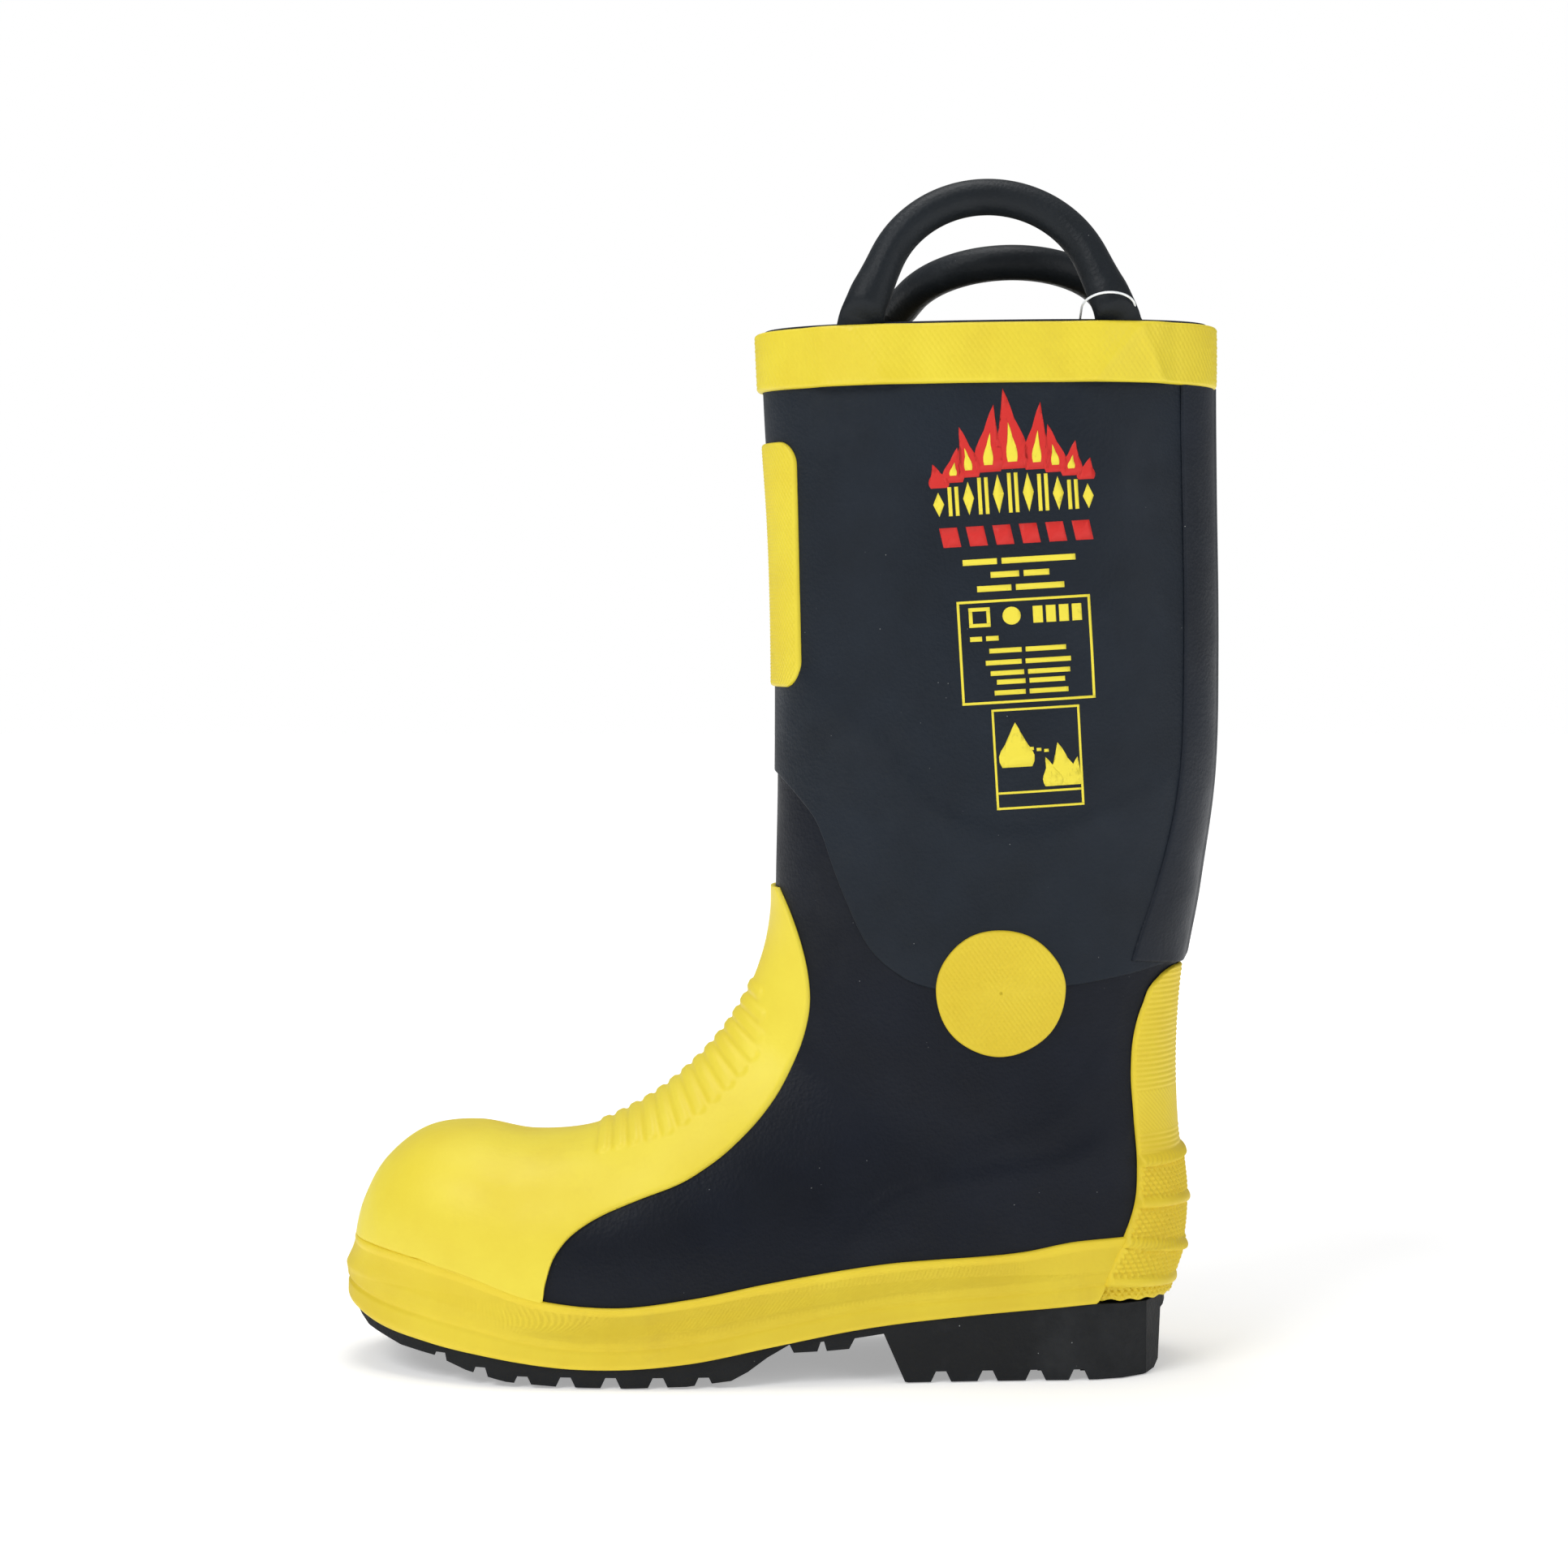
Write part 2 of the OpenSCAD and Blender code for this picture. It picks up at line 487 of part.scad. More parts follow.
// Ridges round the heel: height at the side and at the back
ridges = [[79.1, 80.3], [64.6, 62.8], [50.6, 44.5], [37.1, 33.2]];
module heel_guard() {
  plain = [148, 142, 132, 120, 108, 95, 86];
  m = 6;
  // each ridge is five lines that follow its slope
  steps = concat([for (z = plain) [z, z, 0]],
    [for (r = ridges, k = [-2:2]) [r[0] - k * 1.4, r[1] - k * 1.4, [.5, 1.7, 2.1, 1.7, .5][k + 2]]],
    [[27.8, 27.8, .3]]);
  line = function (g, off) concat(
    [for (c = [0:m]) heel_pt((g[0] + (g[1] - g[0]) * c / m) * kz, c / m, 1, off)],
    [for (c = [m - 1:-1:0]) heel_pt((g[0] + (g[1] - g[0]) * c / m) * kz, c / m, -1, off)]);
  color([0.9, 0.8, 0.24])
  sheet([for (g = steps) line(g, guard_t + g[2] - (g[0] < 48 ? .1 : .3))],
    [for (g = steps) line(g, g[0] < 48 ? 1.2 : fit * 2.5)]);
}

module back_strip() {
  va = v_leg(358);
  n = 10;
  vs = [for (i = [0:n]) va + (v_back(151 * kz) - va) * i / n];
  half = function (z) lookup(z / kz, [[147, 47.5], [162, 45], [191, 39.6], [218, 37.4], [265, 36.5], [359, 36.3]]);
  at = [-1, -.84, -.68, -.52, -.36, -.2, -.08, 0, .08, .2, .36, .52, .68, .84, 1];
  lift = [for (a = at) abs(a) < .1 ? 1.4 : 0];
  us = function (v) [for (a = at) 180 + a * half(pt(v, 180)[2])];
  color([0.19, 0.21, 0.25])
  sheet([for (v = vs) [for (c = [0:14]) pt(v, us(v)[c], leg_out + fit + .8 + lift[c])]],
    [for (v = vs) [for (c = [0:14]) pt(v, us(v)[c], leg_out + fit + .1)]]);
}

module shin_patch() {
  z0 = 339.6 * kz;
  z1 = 250.7 * kz;
  half_x = function (z) kx * lookup(z, [[z1, -96], [z1 + 3, -89], [z1 + 9, -84.5],
    [z0 - 9, -86.3], [z0 - 3, -90], [z0, -97]]);
  zs = [z0, z0 - 3, z0 - 9, z0 - 24, z0 - 44, z1 + 24, z1 + 9, z1 + 3, z1];
  m = 12;
  span = function (v, z) max(4, cross_at(function (u) half_x(z) - pt(v, u, leg_out + 1.2)[0], 0, 90));
  vs = [for (z = zs) v_leg(z)];
  ss = [for (i = [0:8]) span(vs[i], zs[i])];
  color([0.93, 0.85, 0.3])
  sheet([for (i = [0:8]) [for (c = [0:m]) pt(vs[i], ss[i] * (2 * c / m - 1), leg_out + fit + 1.4)]],
    [for (i = [0:8]) [for (c = [0:m]) pt(vs[i], ss[i] * (2 * c / m - 1), leg_out + fit * 4)]]);
}

module ankle_disc(side) {
  cx = -12.5 * kx;
  cz = 141.5 * kz;
  r = disc_d / 2;
  hs = [22.6 / 23, 20 / 23, 15 / 23, 8 / 23, 0, -8 / 23, -15 / 23, -20 / 23, -22.6 / 23];
  m = 6;
  x_at = function (h, c) cx + side * r * sqrt(1 - h * h) * (2 * c / m - 1);
  color([0.88, 0.78, 0.24])
  sheet([for (h = hs) [for (c = [0:m]) side_pt(x_at(h, c), cz + h * r, side, leg_out + fit + 1)]],
    [for (h = hs) [for (c = [0:m]) side_pt(x_at(h, c), cz + h * r, side, leg_out + fit)]]);
}
module ankle_disc_lateral() { ankle_disc(1); }
module ankle_disc_medial() { ankle_disc(-1); }

// Angles where the handle legs pass the collar, and the pockets over them
anchor_front_x = -60 * kx;
anchor_back_x = 26.4 * kx;
function shift_of(side) = side > 0 ? 0 : medial_shift;
band_cols = 60;
// Band columns of the two legs of one handle, counted round from the front
function leg_cols(side) = [for (x = [anchor_front_x, anchor_back_x])
  round(cross_at(function (u) x + shift_of(side) - pt(0, u)[0], 0, 180) * band_cols / 360)];
anchor_cols = concat(leg_cols(1), [for (c = leg_cols(-1)) band_cols - c]);
pocket_t = 1.5;
function pocket(c) = max([for (a = anchor_cols) abs(c - a) <= 2 ? 1 : 0]) * pocket_t;
v_band = v_leg((381 - band_h) * kz);

module collar_band() {
  us = [for (i = [0:band_cols - 1]) i * 360 / band_cols];
  vs = [0, v_band * .33, v_band * .66, v_band];
  color([0.92, 0.83, 0.28])
  sheet([for (v = vs) [for (c = [0:band_cols - 1]) pt(v, us[c], leg_out + .2 + band_t + pocket(c))]],
    [for (v = vs) [for (c = [0:band_cols - 1]) pt(v, us[c], leg_out + .2 + pocket(c))]], true);
}

// Flat tongue of a handle under the band, and the seat above the collar
hinge_z = 389.5 * kz;
hinge_y = abs(pt(0, anchor_cols[0] * 360 / band_cols)[1]) + 0.6;
module handle_anchor(side) {
  for (a = leg_cols(side)) {
    us = [for (i = [-1:1]) side * (a + i * side * 1) * 360 / band_cols];
    vs = [0.02, v_band * .33, v_band * .66];
    sheet([for (v = vs) [for (u = us) pt(v, u, leg_out + .2 + pocket_t - .1)]],
      [for (v = vs) [for (u = us) pt(v, u, leg_out + .1)]]);
  }
  for (x = [anchor_front_x, anchor_back_x])
    translate([x + shift_of(side), -side * hinge_y, hinge_z])
      difference() {
        translate([0, 0, -6.9]) cylinder(d = 9.6, h = 1.4);
        sphere(d = handle_d + .8);
      }
}
module handle_anchor_lateral() { color([0.2, 0.22, 0.24]) handle_anchor(1); }
module handle_anchor_medial() { color([0.2, 0.22, 0.24]) handle_anchor(-1); }

handle_mid = (anchor_front_x + anchor_back_x) / 2;
half_span = (anchor_back_x - anchor_front_x) / 2;
leg_len = (half_span - handle_r * cos(handle_splay)) / sin(handle_splay);
// Arch of round bar of diameter d in the upright plane y = 0, feet on z = 0,
// the legs reaching down to foot; a slightly fuller ball covers each join
module arch_bar(d, foot) {
  knee = leg_len * cos(handle_splay);
  translate([0, 0, knee - handle_r * sin(handle_splay)])
    rotate([90, 0, 0]) rotate([0, 0, handle_splay])
      rotate_extrude(angle = 180 - 2 * handle_splay) translate([handle_r, 0]) circle(d = d);
  for (s = [-1, 1]) {
    translate([s * half_span, 0, 0]) rotate([0, -s * handle_splay, 0]) {
      translate([0, 0, foot]) cylinder(d = d, h = leg_len - foot - 0.4);
      translate([0, 0, leg_len]) sphere(d = d + 0.3);
    }
  }
}
module lean(side, tilt) {
  translate([handle_mid + shift_of(side), -side * hinge_y, hinge_z]) rotate([-side * tilt, 0, 0]) children();
}
core_d = 4.6;
module handle(side, tilt) {
  color([0.18, 0.2, 0.21])
  lean(side, tilt) difference() {
    union() {
      arch_bar(handle_d, 0);
      for (s = [-1, 1]) translate([s * half_span, 0, 0]) sphere(d = handle_d + 0.3);
    }
    arch_bar(core_d + .2, -12);
  }
}
module handle_lateral() { handle(1, lean_lateral); }
module handle_medial() { handle(-1, lean_medial); }
module handle_core_lateral() { color([0.75, 0.72, 0.66]) lean(1, lean_lateral) arch_bar(core_d - .1, -4); }
module handle_core_medial() { color([0.75, 0.72, 0.66]) lean(-1, lean_medial) arch_bar(core_d - .1, -4); }

// Clear filament loop round the foot of the outer handle's rear leg
loop_d = 0.8;
loop_r = 9.5;
loop_len = 22;
module tag_loop() {
  color([0.85, 0.88, 0.9])
  translate([anchor_back_x - 1, -hinge_y - 1, hinge_z - 3.5]) rotate([-31, 0, 0]) {
    rotate([0, 0, 180]) rotate_extrude(angle = 180) translate([loop_r, 0]) circle(d = loop_d);
    for (s = [-1, 1]) translate([s * loop_r, 0, 0]) rotate([-90, 0, 0]) cylinder(d = loop_d, h = loop_len);
    translate([0, loop_len, 0]) rotate_extrude(angle = 180) translate([loop_r, 0]) circle(d = loop_d);
  }
}

outsole();
heel_core();
midsole_filler();
steel_midsole();
insole_board();
footbed();
foot_upper();
leg_upper();
leg_inner_ply();
leg_insulation();
ankle_reinforcement();
heel_counter();
steel_toecap();
toecap_edge_strip();
lining();
toe_vamp_cover();
foxing_strip();
heel_guard();
back_strip();
shin_patch();
ankle_disc_lateral();
ankle_disc_medial();
collar_band();
handle_anchor_lateral();
handle_anchor_medial();
handle_lateral();
handle_medial();
handle_core_lateral();
handle_core_medial();
tag_loop();
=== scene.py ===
"""Looks of a rubber fire boot: moulded rubber skins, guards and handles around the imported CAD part."""

import math

import bmesh
import bpy
import numpy as np
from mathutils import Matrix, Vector


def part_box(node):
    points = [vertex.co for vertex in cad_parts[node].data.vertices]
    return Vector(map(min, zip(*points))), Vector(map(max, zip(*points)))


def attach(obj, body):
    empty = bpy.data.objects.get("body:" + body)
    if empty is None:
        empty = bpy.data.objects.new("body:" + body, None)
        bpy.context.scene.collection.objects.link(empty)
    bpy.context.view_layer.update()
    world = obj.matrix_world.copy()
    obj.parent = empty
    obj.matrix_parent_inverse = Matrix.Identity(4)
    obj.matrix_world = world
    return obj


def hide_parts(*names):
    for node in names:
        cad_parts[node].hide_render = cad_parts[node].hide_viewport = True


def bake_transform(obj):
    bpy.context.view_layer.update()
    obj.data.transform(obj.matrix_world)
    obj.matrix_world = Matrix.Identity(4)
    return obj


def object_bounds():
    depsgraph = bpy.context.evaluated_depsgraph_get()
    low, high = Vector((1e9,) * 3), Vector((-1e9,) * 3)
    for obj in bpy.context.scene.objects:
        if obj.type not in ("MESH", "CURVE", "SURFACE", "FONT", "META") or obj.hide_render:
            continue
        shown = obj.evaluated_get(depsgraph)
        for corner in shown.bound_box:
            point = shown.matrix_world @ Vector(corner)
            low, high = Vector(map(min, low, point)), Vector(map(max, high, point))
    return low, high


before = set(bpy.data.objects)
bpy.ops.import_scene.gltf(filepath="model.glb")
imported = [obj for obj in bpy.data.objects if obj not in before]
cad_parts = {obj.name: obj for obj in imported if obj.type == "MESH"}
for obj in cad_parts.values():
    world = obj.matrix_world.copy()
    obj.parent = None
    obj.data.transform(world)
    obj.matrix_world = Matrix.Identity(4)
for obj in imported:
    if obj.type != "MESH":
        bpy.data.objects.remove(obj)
CAD_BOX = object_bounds()
FINE = 1.0

# ---- boot surface
# Sections of the boot, in millimetres, as in the CAD part: leg, ankle fan, toe
PIVOT_X = -184
PIVOT_Z = 178
# height front, height back, front x, back x, half widths
LEG = [
    (379.6, 382, -97.6, 65.4, 42.5, 42.5),
    (345, 345, -95.9, 65.5, 43.5, 43.5),
    (305, 305, -93.3, 66.3, 44.5, 44.5),
    (262, 262, -92.2, 67, 45, 45),
    (218, 218, -92.3, 66.2, 44, 44),
]
# angle, radii, half widths, widest line, squareness above and below, shift
FAN = [
    (0, 91, 245, 41.5, 41.5, .5, 2.25, 2.25, 0),
    (7, 91.3, 241.8, 40.5, 40.5, .49, 2.25, 2.25, 0),
    (14, 91.6, 245, 39.5, 39.5, .47, 2.2, 2.3, 0),
    (20, 91.8, 254, 39.5, 39, .43, 2.2, 2.35, 0),
    (25.5, 92, 267.5, 40, 38.5, .38, 2.2, 2.4, 0),
    (30, 92, 275.2, 40, 38.5, .33, 2.2, 2.5, 0),
    (33.5, 92, 272.5, 40, 38, .3, 2.2, 3, 0),
    (38, 92, 243.5, 40.5, 37.5, .28, 2.2, 3.6, 0),
    (46, 92.2, 210.5, 42.5, 38, .27, 2.2, 4, -.5),
    (56, 92.9, 187.5, 46.5, 41, .28, 2.2, 4.2, -1),
    (66, 93.9, 174.5, 50, 45.5, .29, 2.2, 4.2, -1),
    (77, 95.6, 168.6, 51.5, 48.5, .32, 2.25, 4.2, 0),
    (90, 95.2, 164.6, 50.5, 49.5, .36, 2.3, 4.2, 1.5),
]
# top x and z, bottom x and z, half widths, widest line, squareness, shift, forward share
TOE = [
    (-204.5, 85.9, -201, 15, 47.8, 48.6, .38, 2.35, 4, 3, 0),
    (-223.5, 83.3, -216, 18, 42, 44.5, .4, 2.35, 3.6, 4.2, .2),
    (-237.3, 72.5, -228, 21, 34, 37, .43, 2.3, 3.2, 5, .55),
    (-244.6, 58.5, -236.5, 23.5, 26, 28.5, .46, 2.25, 2.8, 5.5, .8),
    (-247.6, 45.5, -242, 25.5, 18, 19, .5, 2.2, 2.4, 6, .95),
    (-248.2, 36, -246, 28, 9, 9.5, .5, 2.2, 2.2, 6, 1),
    (-248.2, 31.5, -248.2, 31.5, .4, .4, .5, 2.2, 2.2, 6, 1),
]


def section_rows():
    """All sections as rows: front x and z, back x and z, then widths and shape values."""
    rows = []
    for front_z, back_z, front_x, back_x, lateral, medial in LEG:
        rows.append((front_x, front_z, back_x, back_z, lateral, medial, .5, 2.3, 2.3, 0, 0))
    for angle, front, back, lateral, medial, widest, above, below, shift in FAN:
        c = math.cos(math.radians(angle))
        s = math.sin(math.radians(angle))
        rows.append((PIVOT_X + front * c, PIVOT_Z - front * s, PIVOT_X + back * c, PIVOT_Z - back * s,
                     lateral, medial, widest, above, below, shift, 0))
    return np.array(rows + TOE, float)


ROWS = section_rows()
LAST = len(ROWS) - 1
LEATHER_OUT = 1.2


def signed_power(x, power):
    """Power of a number's size, with its sign kept."""
    return np.sign(x) * np.abs(x) ** power


def pt(v, u, off=0.0):
    """Points of the boot surface: v from collar to toe tip, u round from the front, off outwards."""
    v, u, off = np.broadcast_arrays(np.asarray(v, float), np.asarray(u, float), np.asarray(off, float))
    clipped = np.clip(v, 0, LAST)
    i = np.minimum(clipped.astype(int), LAST - 1)
    t = (clipped - i)[..., None]
    a, b = ROWS[np.maximum(i - 1, 0)], ROWS[i]
    c, d = ROWS[i + 1], ROWS[np.minimum(i + 2, LAST)]
    square, cube = 2 * a - 5 * b + 4 * c - d, 3 * b - a - 3 * c + d
    q = .5 * (2 * b + (c - a) * t + square * t ** 2 + cube * t ** 3)
    front, back = q[..., 0:2], q[..., 2:4]
    length = np.maximum(np.linalg.norm(front - back, axis=-1), .01)
    axis = (front - back) / length[..., None]
    widest = back + (front - back) * q[..., 6:7]
    cu, su = np.cos(np.radians(u)), np.sin(np.radians(u))
    power = 2 / np.where(cu >= 0, q[..., 7], q[..., 8])
    reach = np.maximum(np.where(cu >= 0, length * (1 - q[..., 6]), length * q[..., 6]) + off, 0)
    width = np.maximum(np.where(su >= 0, q[..., 4], q[..., 5]) + off, 0)
    along = signed_power(cu, power) * reach
    side = signed_power(su, power) * width
    return np.stack([widest[..., 0] + axis[..., 0] * along - q[..., 10] * off,
                     q[..., 9] - side,
                     widest[..., 1] + axis[..., 1] * along], -1)


def cross(f, low, high, like=1, steps=24):
    """Where f turns from plus to minus between low and high, for as many values as like holds."""
    size = like if isinstance(like, int) else np.shape(like)
    low, high = low + np.zeros(size), high + np.zeros(size)
    for _ in range(steps):
        mid = (low + high) / 2
        plus = f(mid) > 0
        low = np.where(plus, mid, low)
        high = np.where(plus, high, mid)
    return (low + high) / 2


def level_u(v, z, off=0.0):
    """Angle at which section v reaches height z on the outer side."""
    v, z = np.broadcast_arrays(np.asarray(v, float), np.asarray(z, float))
    return cross(lambda u: pt(v, u, off)[..., 2] - z, 0, 180, v)


def side_vu(x, z):
    """Section and angle of the surface point seen from the side at x, z."""
    x, z = np.broadcast_arrays(np.asarray(x, float), np.asarray(z, float))

    def ahead(v):
        f, b = pt(v, 0), pt(v, 180)
        turn = (b[..., 0] - f[..., 0]) * (z - f[..., 2]) - (b[..., 2] - f[..., 2]) * (x - f[..., 0])
        return np.where(turn < 0, 1, -1)

    v = cross(ahead, 0, 17, x)

    def beyond(u):
        p, f, b = pt(v, u), pt(v, 0), pt(v, 180)
        return (p[..., 0] - x) * (f[..., 0] - b[..., 0]) + (p[..., 2] - z) * (f[..., 2] - b[..., 2])

    return v, cross(beyond, 0, 180, x)


def nominal_scale():
    """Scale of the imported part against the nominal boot, per axis."""
    knots = 3.6 + .75 * np.arange(28)
    u = np.arange(28) * 360 / 28
    foot = pt(knots[:, None], u[None], 0).reshape(-1, 3)
    low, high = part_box("foot_upper")
    leg_low, leg_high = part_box("leg_inner_ply")
    width = np.ptp(pt(np.linspace(0, 3.57, 60)[:, None], u[None])[..., 1])
    across = (leg_high.y - leg_low.y) / width
    return np.array([(high.x - low.x) / np.ptp(foot[:, 0]), across, leg_high.z / LEG[0][1]])


SCALE = nominal_scale()


def smooth(x, table):
    """Smooth curve through a table of points, level beyond its ends."""
    xs, ys = np.array(table, float).T
    rate = np.gradient(ys, xs)
    x = np.clip(np.asarray(x, float), xs[0], xs[-1])
    i = np.clip(np.searchsorted(xs, x) - 1, 0, len(xs) - 2)
    h = xs[i + 1] - xs[i]
    t = (x - xs[i]) / h
    rise = ys[i + 1] * (3 * t ** 2 - 2 * t ** 3) + ys[i] * (1 - 3 * t ** 2 + 2 * t ** 3)
    return rise + h * (rate[i] * (t ** 3 - 2 * t ** 2 + t) + rate[i + 1] * (t ** 3 - t ** 2))


# Lower edge of the leg sheet by x, rear edge of the toe cover by height
SEAM = [(-100, 219.6), (-93.8, 219.2), (-89, 215), (-83.9, 209.3), (-77.7, 200.6), (-70.4, 180),
        (-61.7, 160.3), (-48.5, 147), (-35.3, 142.2), (-12, 141.6), (12.6, 143.3), (34.8, 146.7),
        (50, 149.6), (75, 151)]
COVER_EDGE = [(25, -177), (38, -175.4), (50, -170.8), (56, -165.5), (62, -156.2), (68, -142),
              (73, -128.5), (79, -118), (90, -104.6), (102, -94.5), (113, -88.4), (125, -83.8),
              (136, -81.8), (147, -82.6), (158, -85.3), (169, -89.4), (178.5, -94)]
# Top and bottom of the foxing by x, its bulge, the sole edge, the widest height
FOX_TOP = [(-260, 48.5), (-246.5, 48.5), (-235, 46.9), (-209, 41.4), (-176.6, 31.3), (-149.8, 29.1),
           (-123.7, 32.1), (-94.7, 37.1), (-50.7, 43), (8, 47.2), (33, 50.8), (60, 52)]
FOX_BOTTOM = [(-260, 26), (-252, 25.5), (-247, 22), (-239.4, 18.4), (-219, 13.8), (-197, 10.6),
              (-167, 7.1), (-147, 7), (-124, 9.1), (-95, 14.4), (-65.4, 19.6), (-21.3, 24.3),
              (8, 26.6), (22, 27.9), (60, 28)]
FOX_BULGE = [(-250, 4.3), (-235, 3.4), (-210, 2.7), (60, 2.6)]
SOLE_EDGE = [(-250, 1.3), (-235, .7), (-215, .2), (60, .2)]
EDGE_HEIGHT = [(-250, 34), (-200, 32), (-147, 30), (-50, 38), (20, 40), (36, 38), (50, 33), (60, 33)]
# Front edge of the heel guard by height
GUARD_EDGE = [(24, 18.5), (28, 20.1), (37, 25.1), (52, 33.6), (64, 37.7), (77, 38.6), (94, 37.5),
              (112, 36.5), (124, 37.5), (135, 40.8), (144, 46), (148, 52), (149, 55)]


def lookup(x, table):
    """Straight lines through a table of points."""
    xs, ys = np.array(table, float).T
    return np.interp(x, xs, ys)


def slope(x, start, width):
    """Nought up to start, one from start + width on, straight between."""
    return np.clip((x - start) / width, 0, 1)


def hump(gap):
    """Round hump: one at no gap, nought from a gap of one on."""
    return .5 + .5 * np.cos(np.pi * np.clip(gap, 0, 1))


def soft_step(x):
    """Smooth change from nought to one about x = 0."""
    return 1 / (1 + np.exp(-np.clip(x, -30, 30)))


# ---- mesh helpers
def add_object(name, data):
    obj = bpy.data.objects.new(name, data)
    bpy.context.scene.collection.objects.link(obj)
    return obj


def grid_faces(rows, cols, start=0, wrap=False):
    """Quads between neighbouring points of a grid numbered row by row."""
    r, c = np.indices((rows - 1, cols if wrap else cols - 1))
    right = (c + 1) % cols
    quads = [r * cols + c, r * cols + right, (r + 1) * cols + right, (r + 1) * cols + c]
    return start + np.stack(quads, -1).reshape(-1, 4)


def add_piece(name, skin, material, node=None, body="boot"):
    """Mesh object from points in millimetres and faces, in place of a CAD node."""
    verts = np.asarray(skin[0], float) * SCALE
    faces = [list(map(int, f)) for f in skin[1]]
    mesh = bpy.data.meshes.new(name)
    mesh.from_pydata(verts.tolist(), [], faces)
    mesh.update()
    mesh.calc_loop_triangles()
    tris = np.empty(len(mesh.loop_triangles) * 3, int)
    mesh.loop_triangles.foreach_get("vertices", tris)
    corner = verts[tris.reshape(-1, 3)]
    volume = np.einsum("ij,ij->i", corner[:, 0], np.cross(corner[:, 1], corner[:, 2])).sum()
    if volume < 0:
        mesh.flip_normals()
    mesh.shade_smooth()
    mesh.materials.append(material)
    obj = add_object(name, mesh)
    if body:
        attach(obj, body)
    if node:
        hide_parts(node)
    return obj


def shell(outer, inner, wrap=False, cap=False, knurl=None):
    """Closed skin between an outer and an inner grid of points."""
    rows, cols = outer.shape[:2]
    base = rows * cols
    verts = np.concatenate([outer.reshape(-1, 3), inner.reshape(-1, 3)])
    top = grid_faces(rows, cols, 0, wrap)
    faces = knurl_faces(top, knurl) if knurl is not None else top.tolist()
    faces += grid_faces(rows, cols, base, wrap)[:, ::-1].tolist()
    span = np.arange(cols if wrap else cols - 1)
    nxt = (span + 1) % cols
    faces += np.stack([nxt, span, base + span, base + nxt], -1).tolist()
    end = (rows - 1) * cols
    if cap:
        verts = np.concatenate([verts, [outer[-1].mean(0), inner[-1].mean(0)]])
        hub = np.full(len(span), 2 * base)
        faces += np.stack([hub, end + nxt, end + span], -1).tolist()
        faces += np.stack([hub + 1, base + end + span, base + end + nxt], -1).tolist()
    else:
        faces += np.stack([end + span, end + nxt, base + end + nxt, base + end + span], -1).tolist()
    if not wrap:
        r = np.arange(rows - 1)
        a, d = r * cols, (r + 1) * cols
        faces += np.stack([a, d, base + d, base + a], -1).tolist()
        b, e = a + cols - 1, d + cols - 1
        faces += np.stack([e, b, base + b, base + e], -1).tolist()
    return verts, faces


def mirrored(half):
    """Grid of both sides from a function of the side, joined on the middle line."""
    return np.concatenate([half(1), half(-1)[:, -2::-1]], 1)


def knurl_faces(quads, high):
    """Quads split along their low corners, so that every high point is a small pyramid."""
    first = high.reshape(-1)[quads[:, 0]]
    a = quads[first][:, [0, 1, 3, 1, 2, 3]].reshape(-1, 3)
    b = quads[~first][:, [0, 1, 2, 0, 2, 3]].reshape(-1, 3)
    return a.tolist() + b.tolist()


def run_lengths(points, axis):
    """Distance run along a grid of points, from its first row or column."""
    step = np.linalg.norm(np.diff(points, axis=axis), axis=-1)
    zero = np.zeros_like(np.take(step, [0], axis))
    return np.concatenate([zero, np.cumsum(step, axis)], axis)


def spread(total, n, near, closed=False):
    """Even places along a length, with extra ones at the near distances from both ends."""
    if not len(near):
        return np.linspace(0, total, n + 1)[:-1] if closed else np.linspace(0, total, n)
    even = np.linspace(near[-1], total - near[-1], n)
    return np.concatenate([near[:-1], even, (total - near[:-1])[::-1]])


def even_u(v, u0, u1, n, edge=(), closed=False):
    """Angles evenly spaced along each section, with extra ones at the given distances from both ends."""
    v = np.asarray(v, float)
    u0, u1 = np.broadcast_to(u0, v.shape), np.broadcast_to(u1, v.shape)
    share = np.linspace(0, 1, 361)
    u = u0[:, None] + (u1 - u0)[:, None] * share
    run = run_lengths(pt(v[:, None], u), 1)
    result, place = [], []
    for k in range(len(v)):
        total = run[k, -1]
        near = np.array(edge) * min(1, .3 * total / max(edge)) if edge else ()
        spots = spread(total, n, near, closed)
        result.append(np.interp(spots, run[k], u[k]))
        place.append(np.minimum(spots, total - spots))
    return np.array(result), np.array(place)


def even_v(v0, v1, n, edge=(), lines=(0, 90, 180)):
    """Sections evenly spaced in distance between v0 and v1."""
    v = np.linspace(v0, v1, 600)
    run = np.mean([run_lengths(pt(v, u)[None], 1)[0] for u in lines], 0)
    return np.interp(spread(run[-1], n, np.array(edge)), run, v)


# Distances from an edge at which its rounding gets extra points
ROUND = (0, .08, .22, .42, .7, 1.1)
NEAR = np.array(ROUND[:-1])


def rounded(distance, radius=1.0):
    """Share of full thickness at a distance from a rounded edge."""
    t = np.clip(1 - distance / radius, 0, 1)
    return np.sqrt(1 - t ** 2)


def count(length, step):
    """How many points fit along a length at the current fineness."""
    return max(8, int(length / step * FINE))


# ---- soft shapes under the rubber
# Edges of hidden plies that show through the skin: points x, z seen from the side
PLY_LEG = [(-90, 262), (-83, 257.6), (-66, 243), (-51, 228.6), (-36.7, 211), (-22, 202), (-7.6, 199.5),
           (15.5, 204), (35.8, 213.5), (49.6, 221.4)]
PLY_HEEL = [(-72, 47), (-65.4, 57), (-53.7, 68), (-42, 72.4), (-21.6, 75.6), (7.6, 80.7), (36.8, 95.4)]
PLY_ANKLE = [(-42, 76.3), (-12.9, 88), (7.6, 96.9), (19.2, 110), (27.8, 127.8), (33.6, 145.3)]


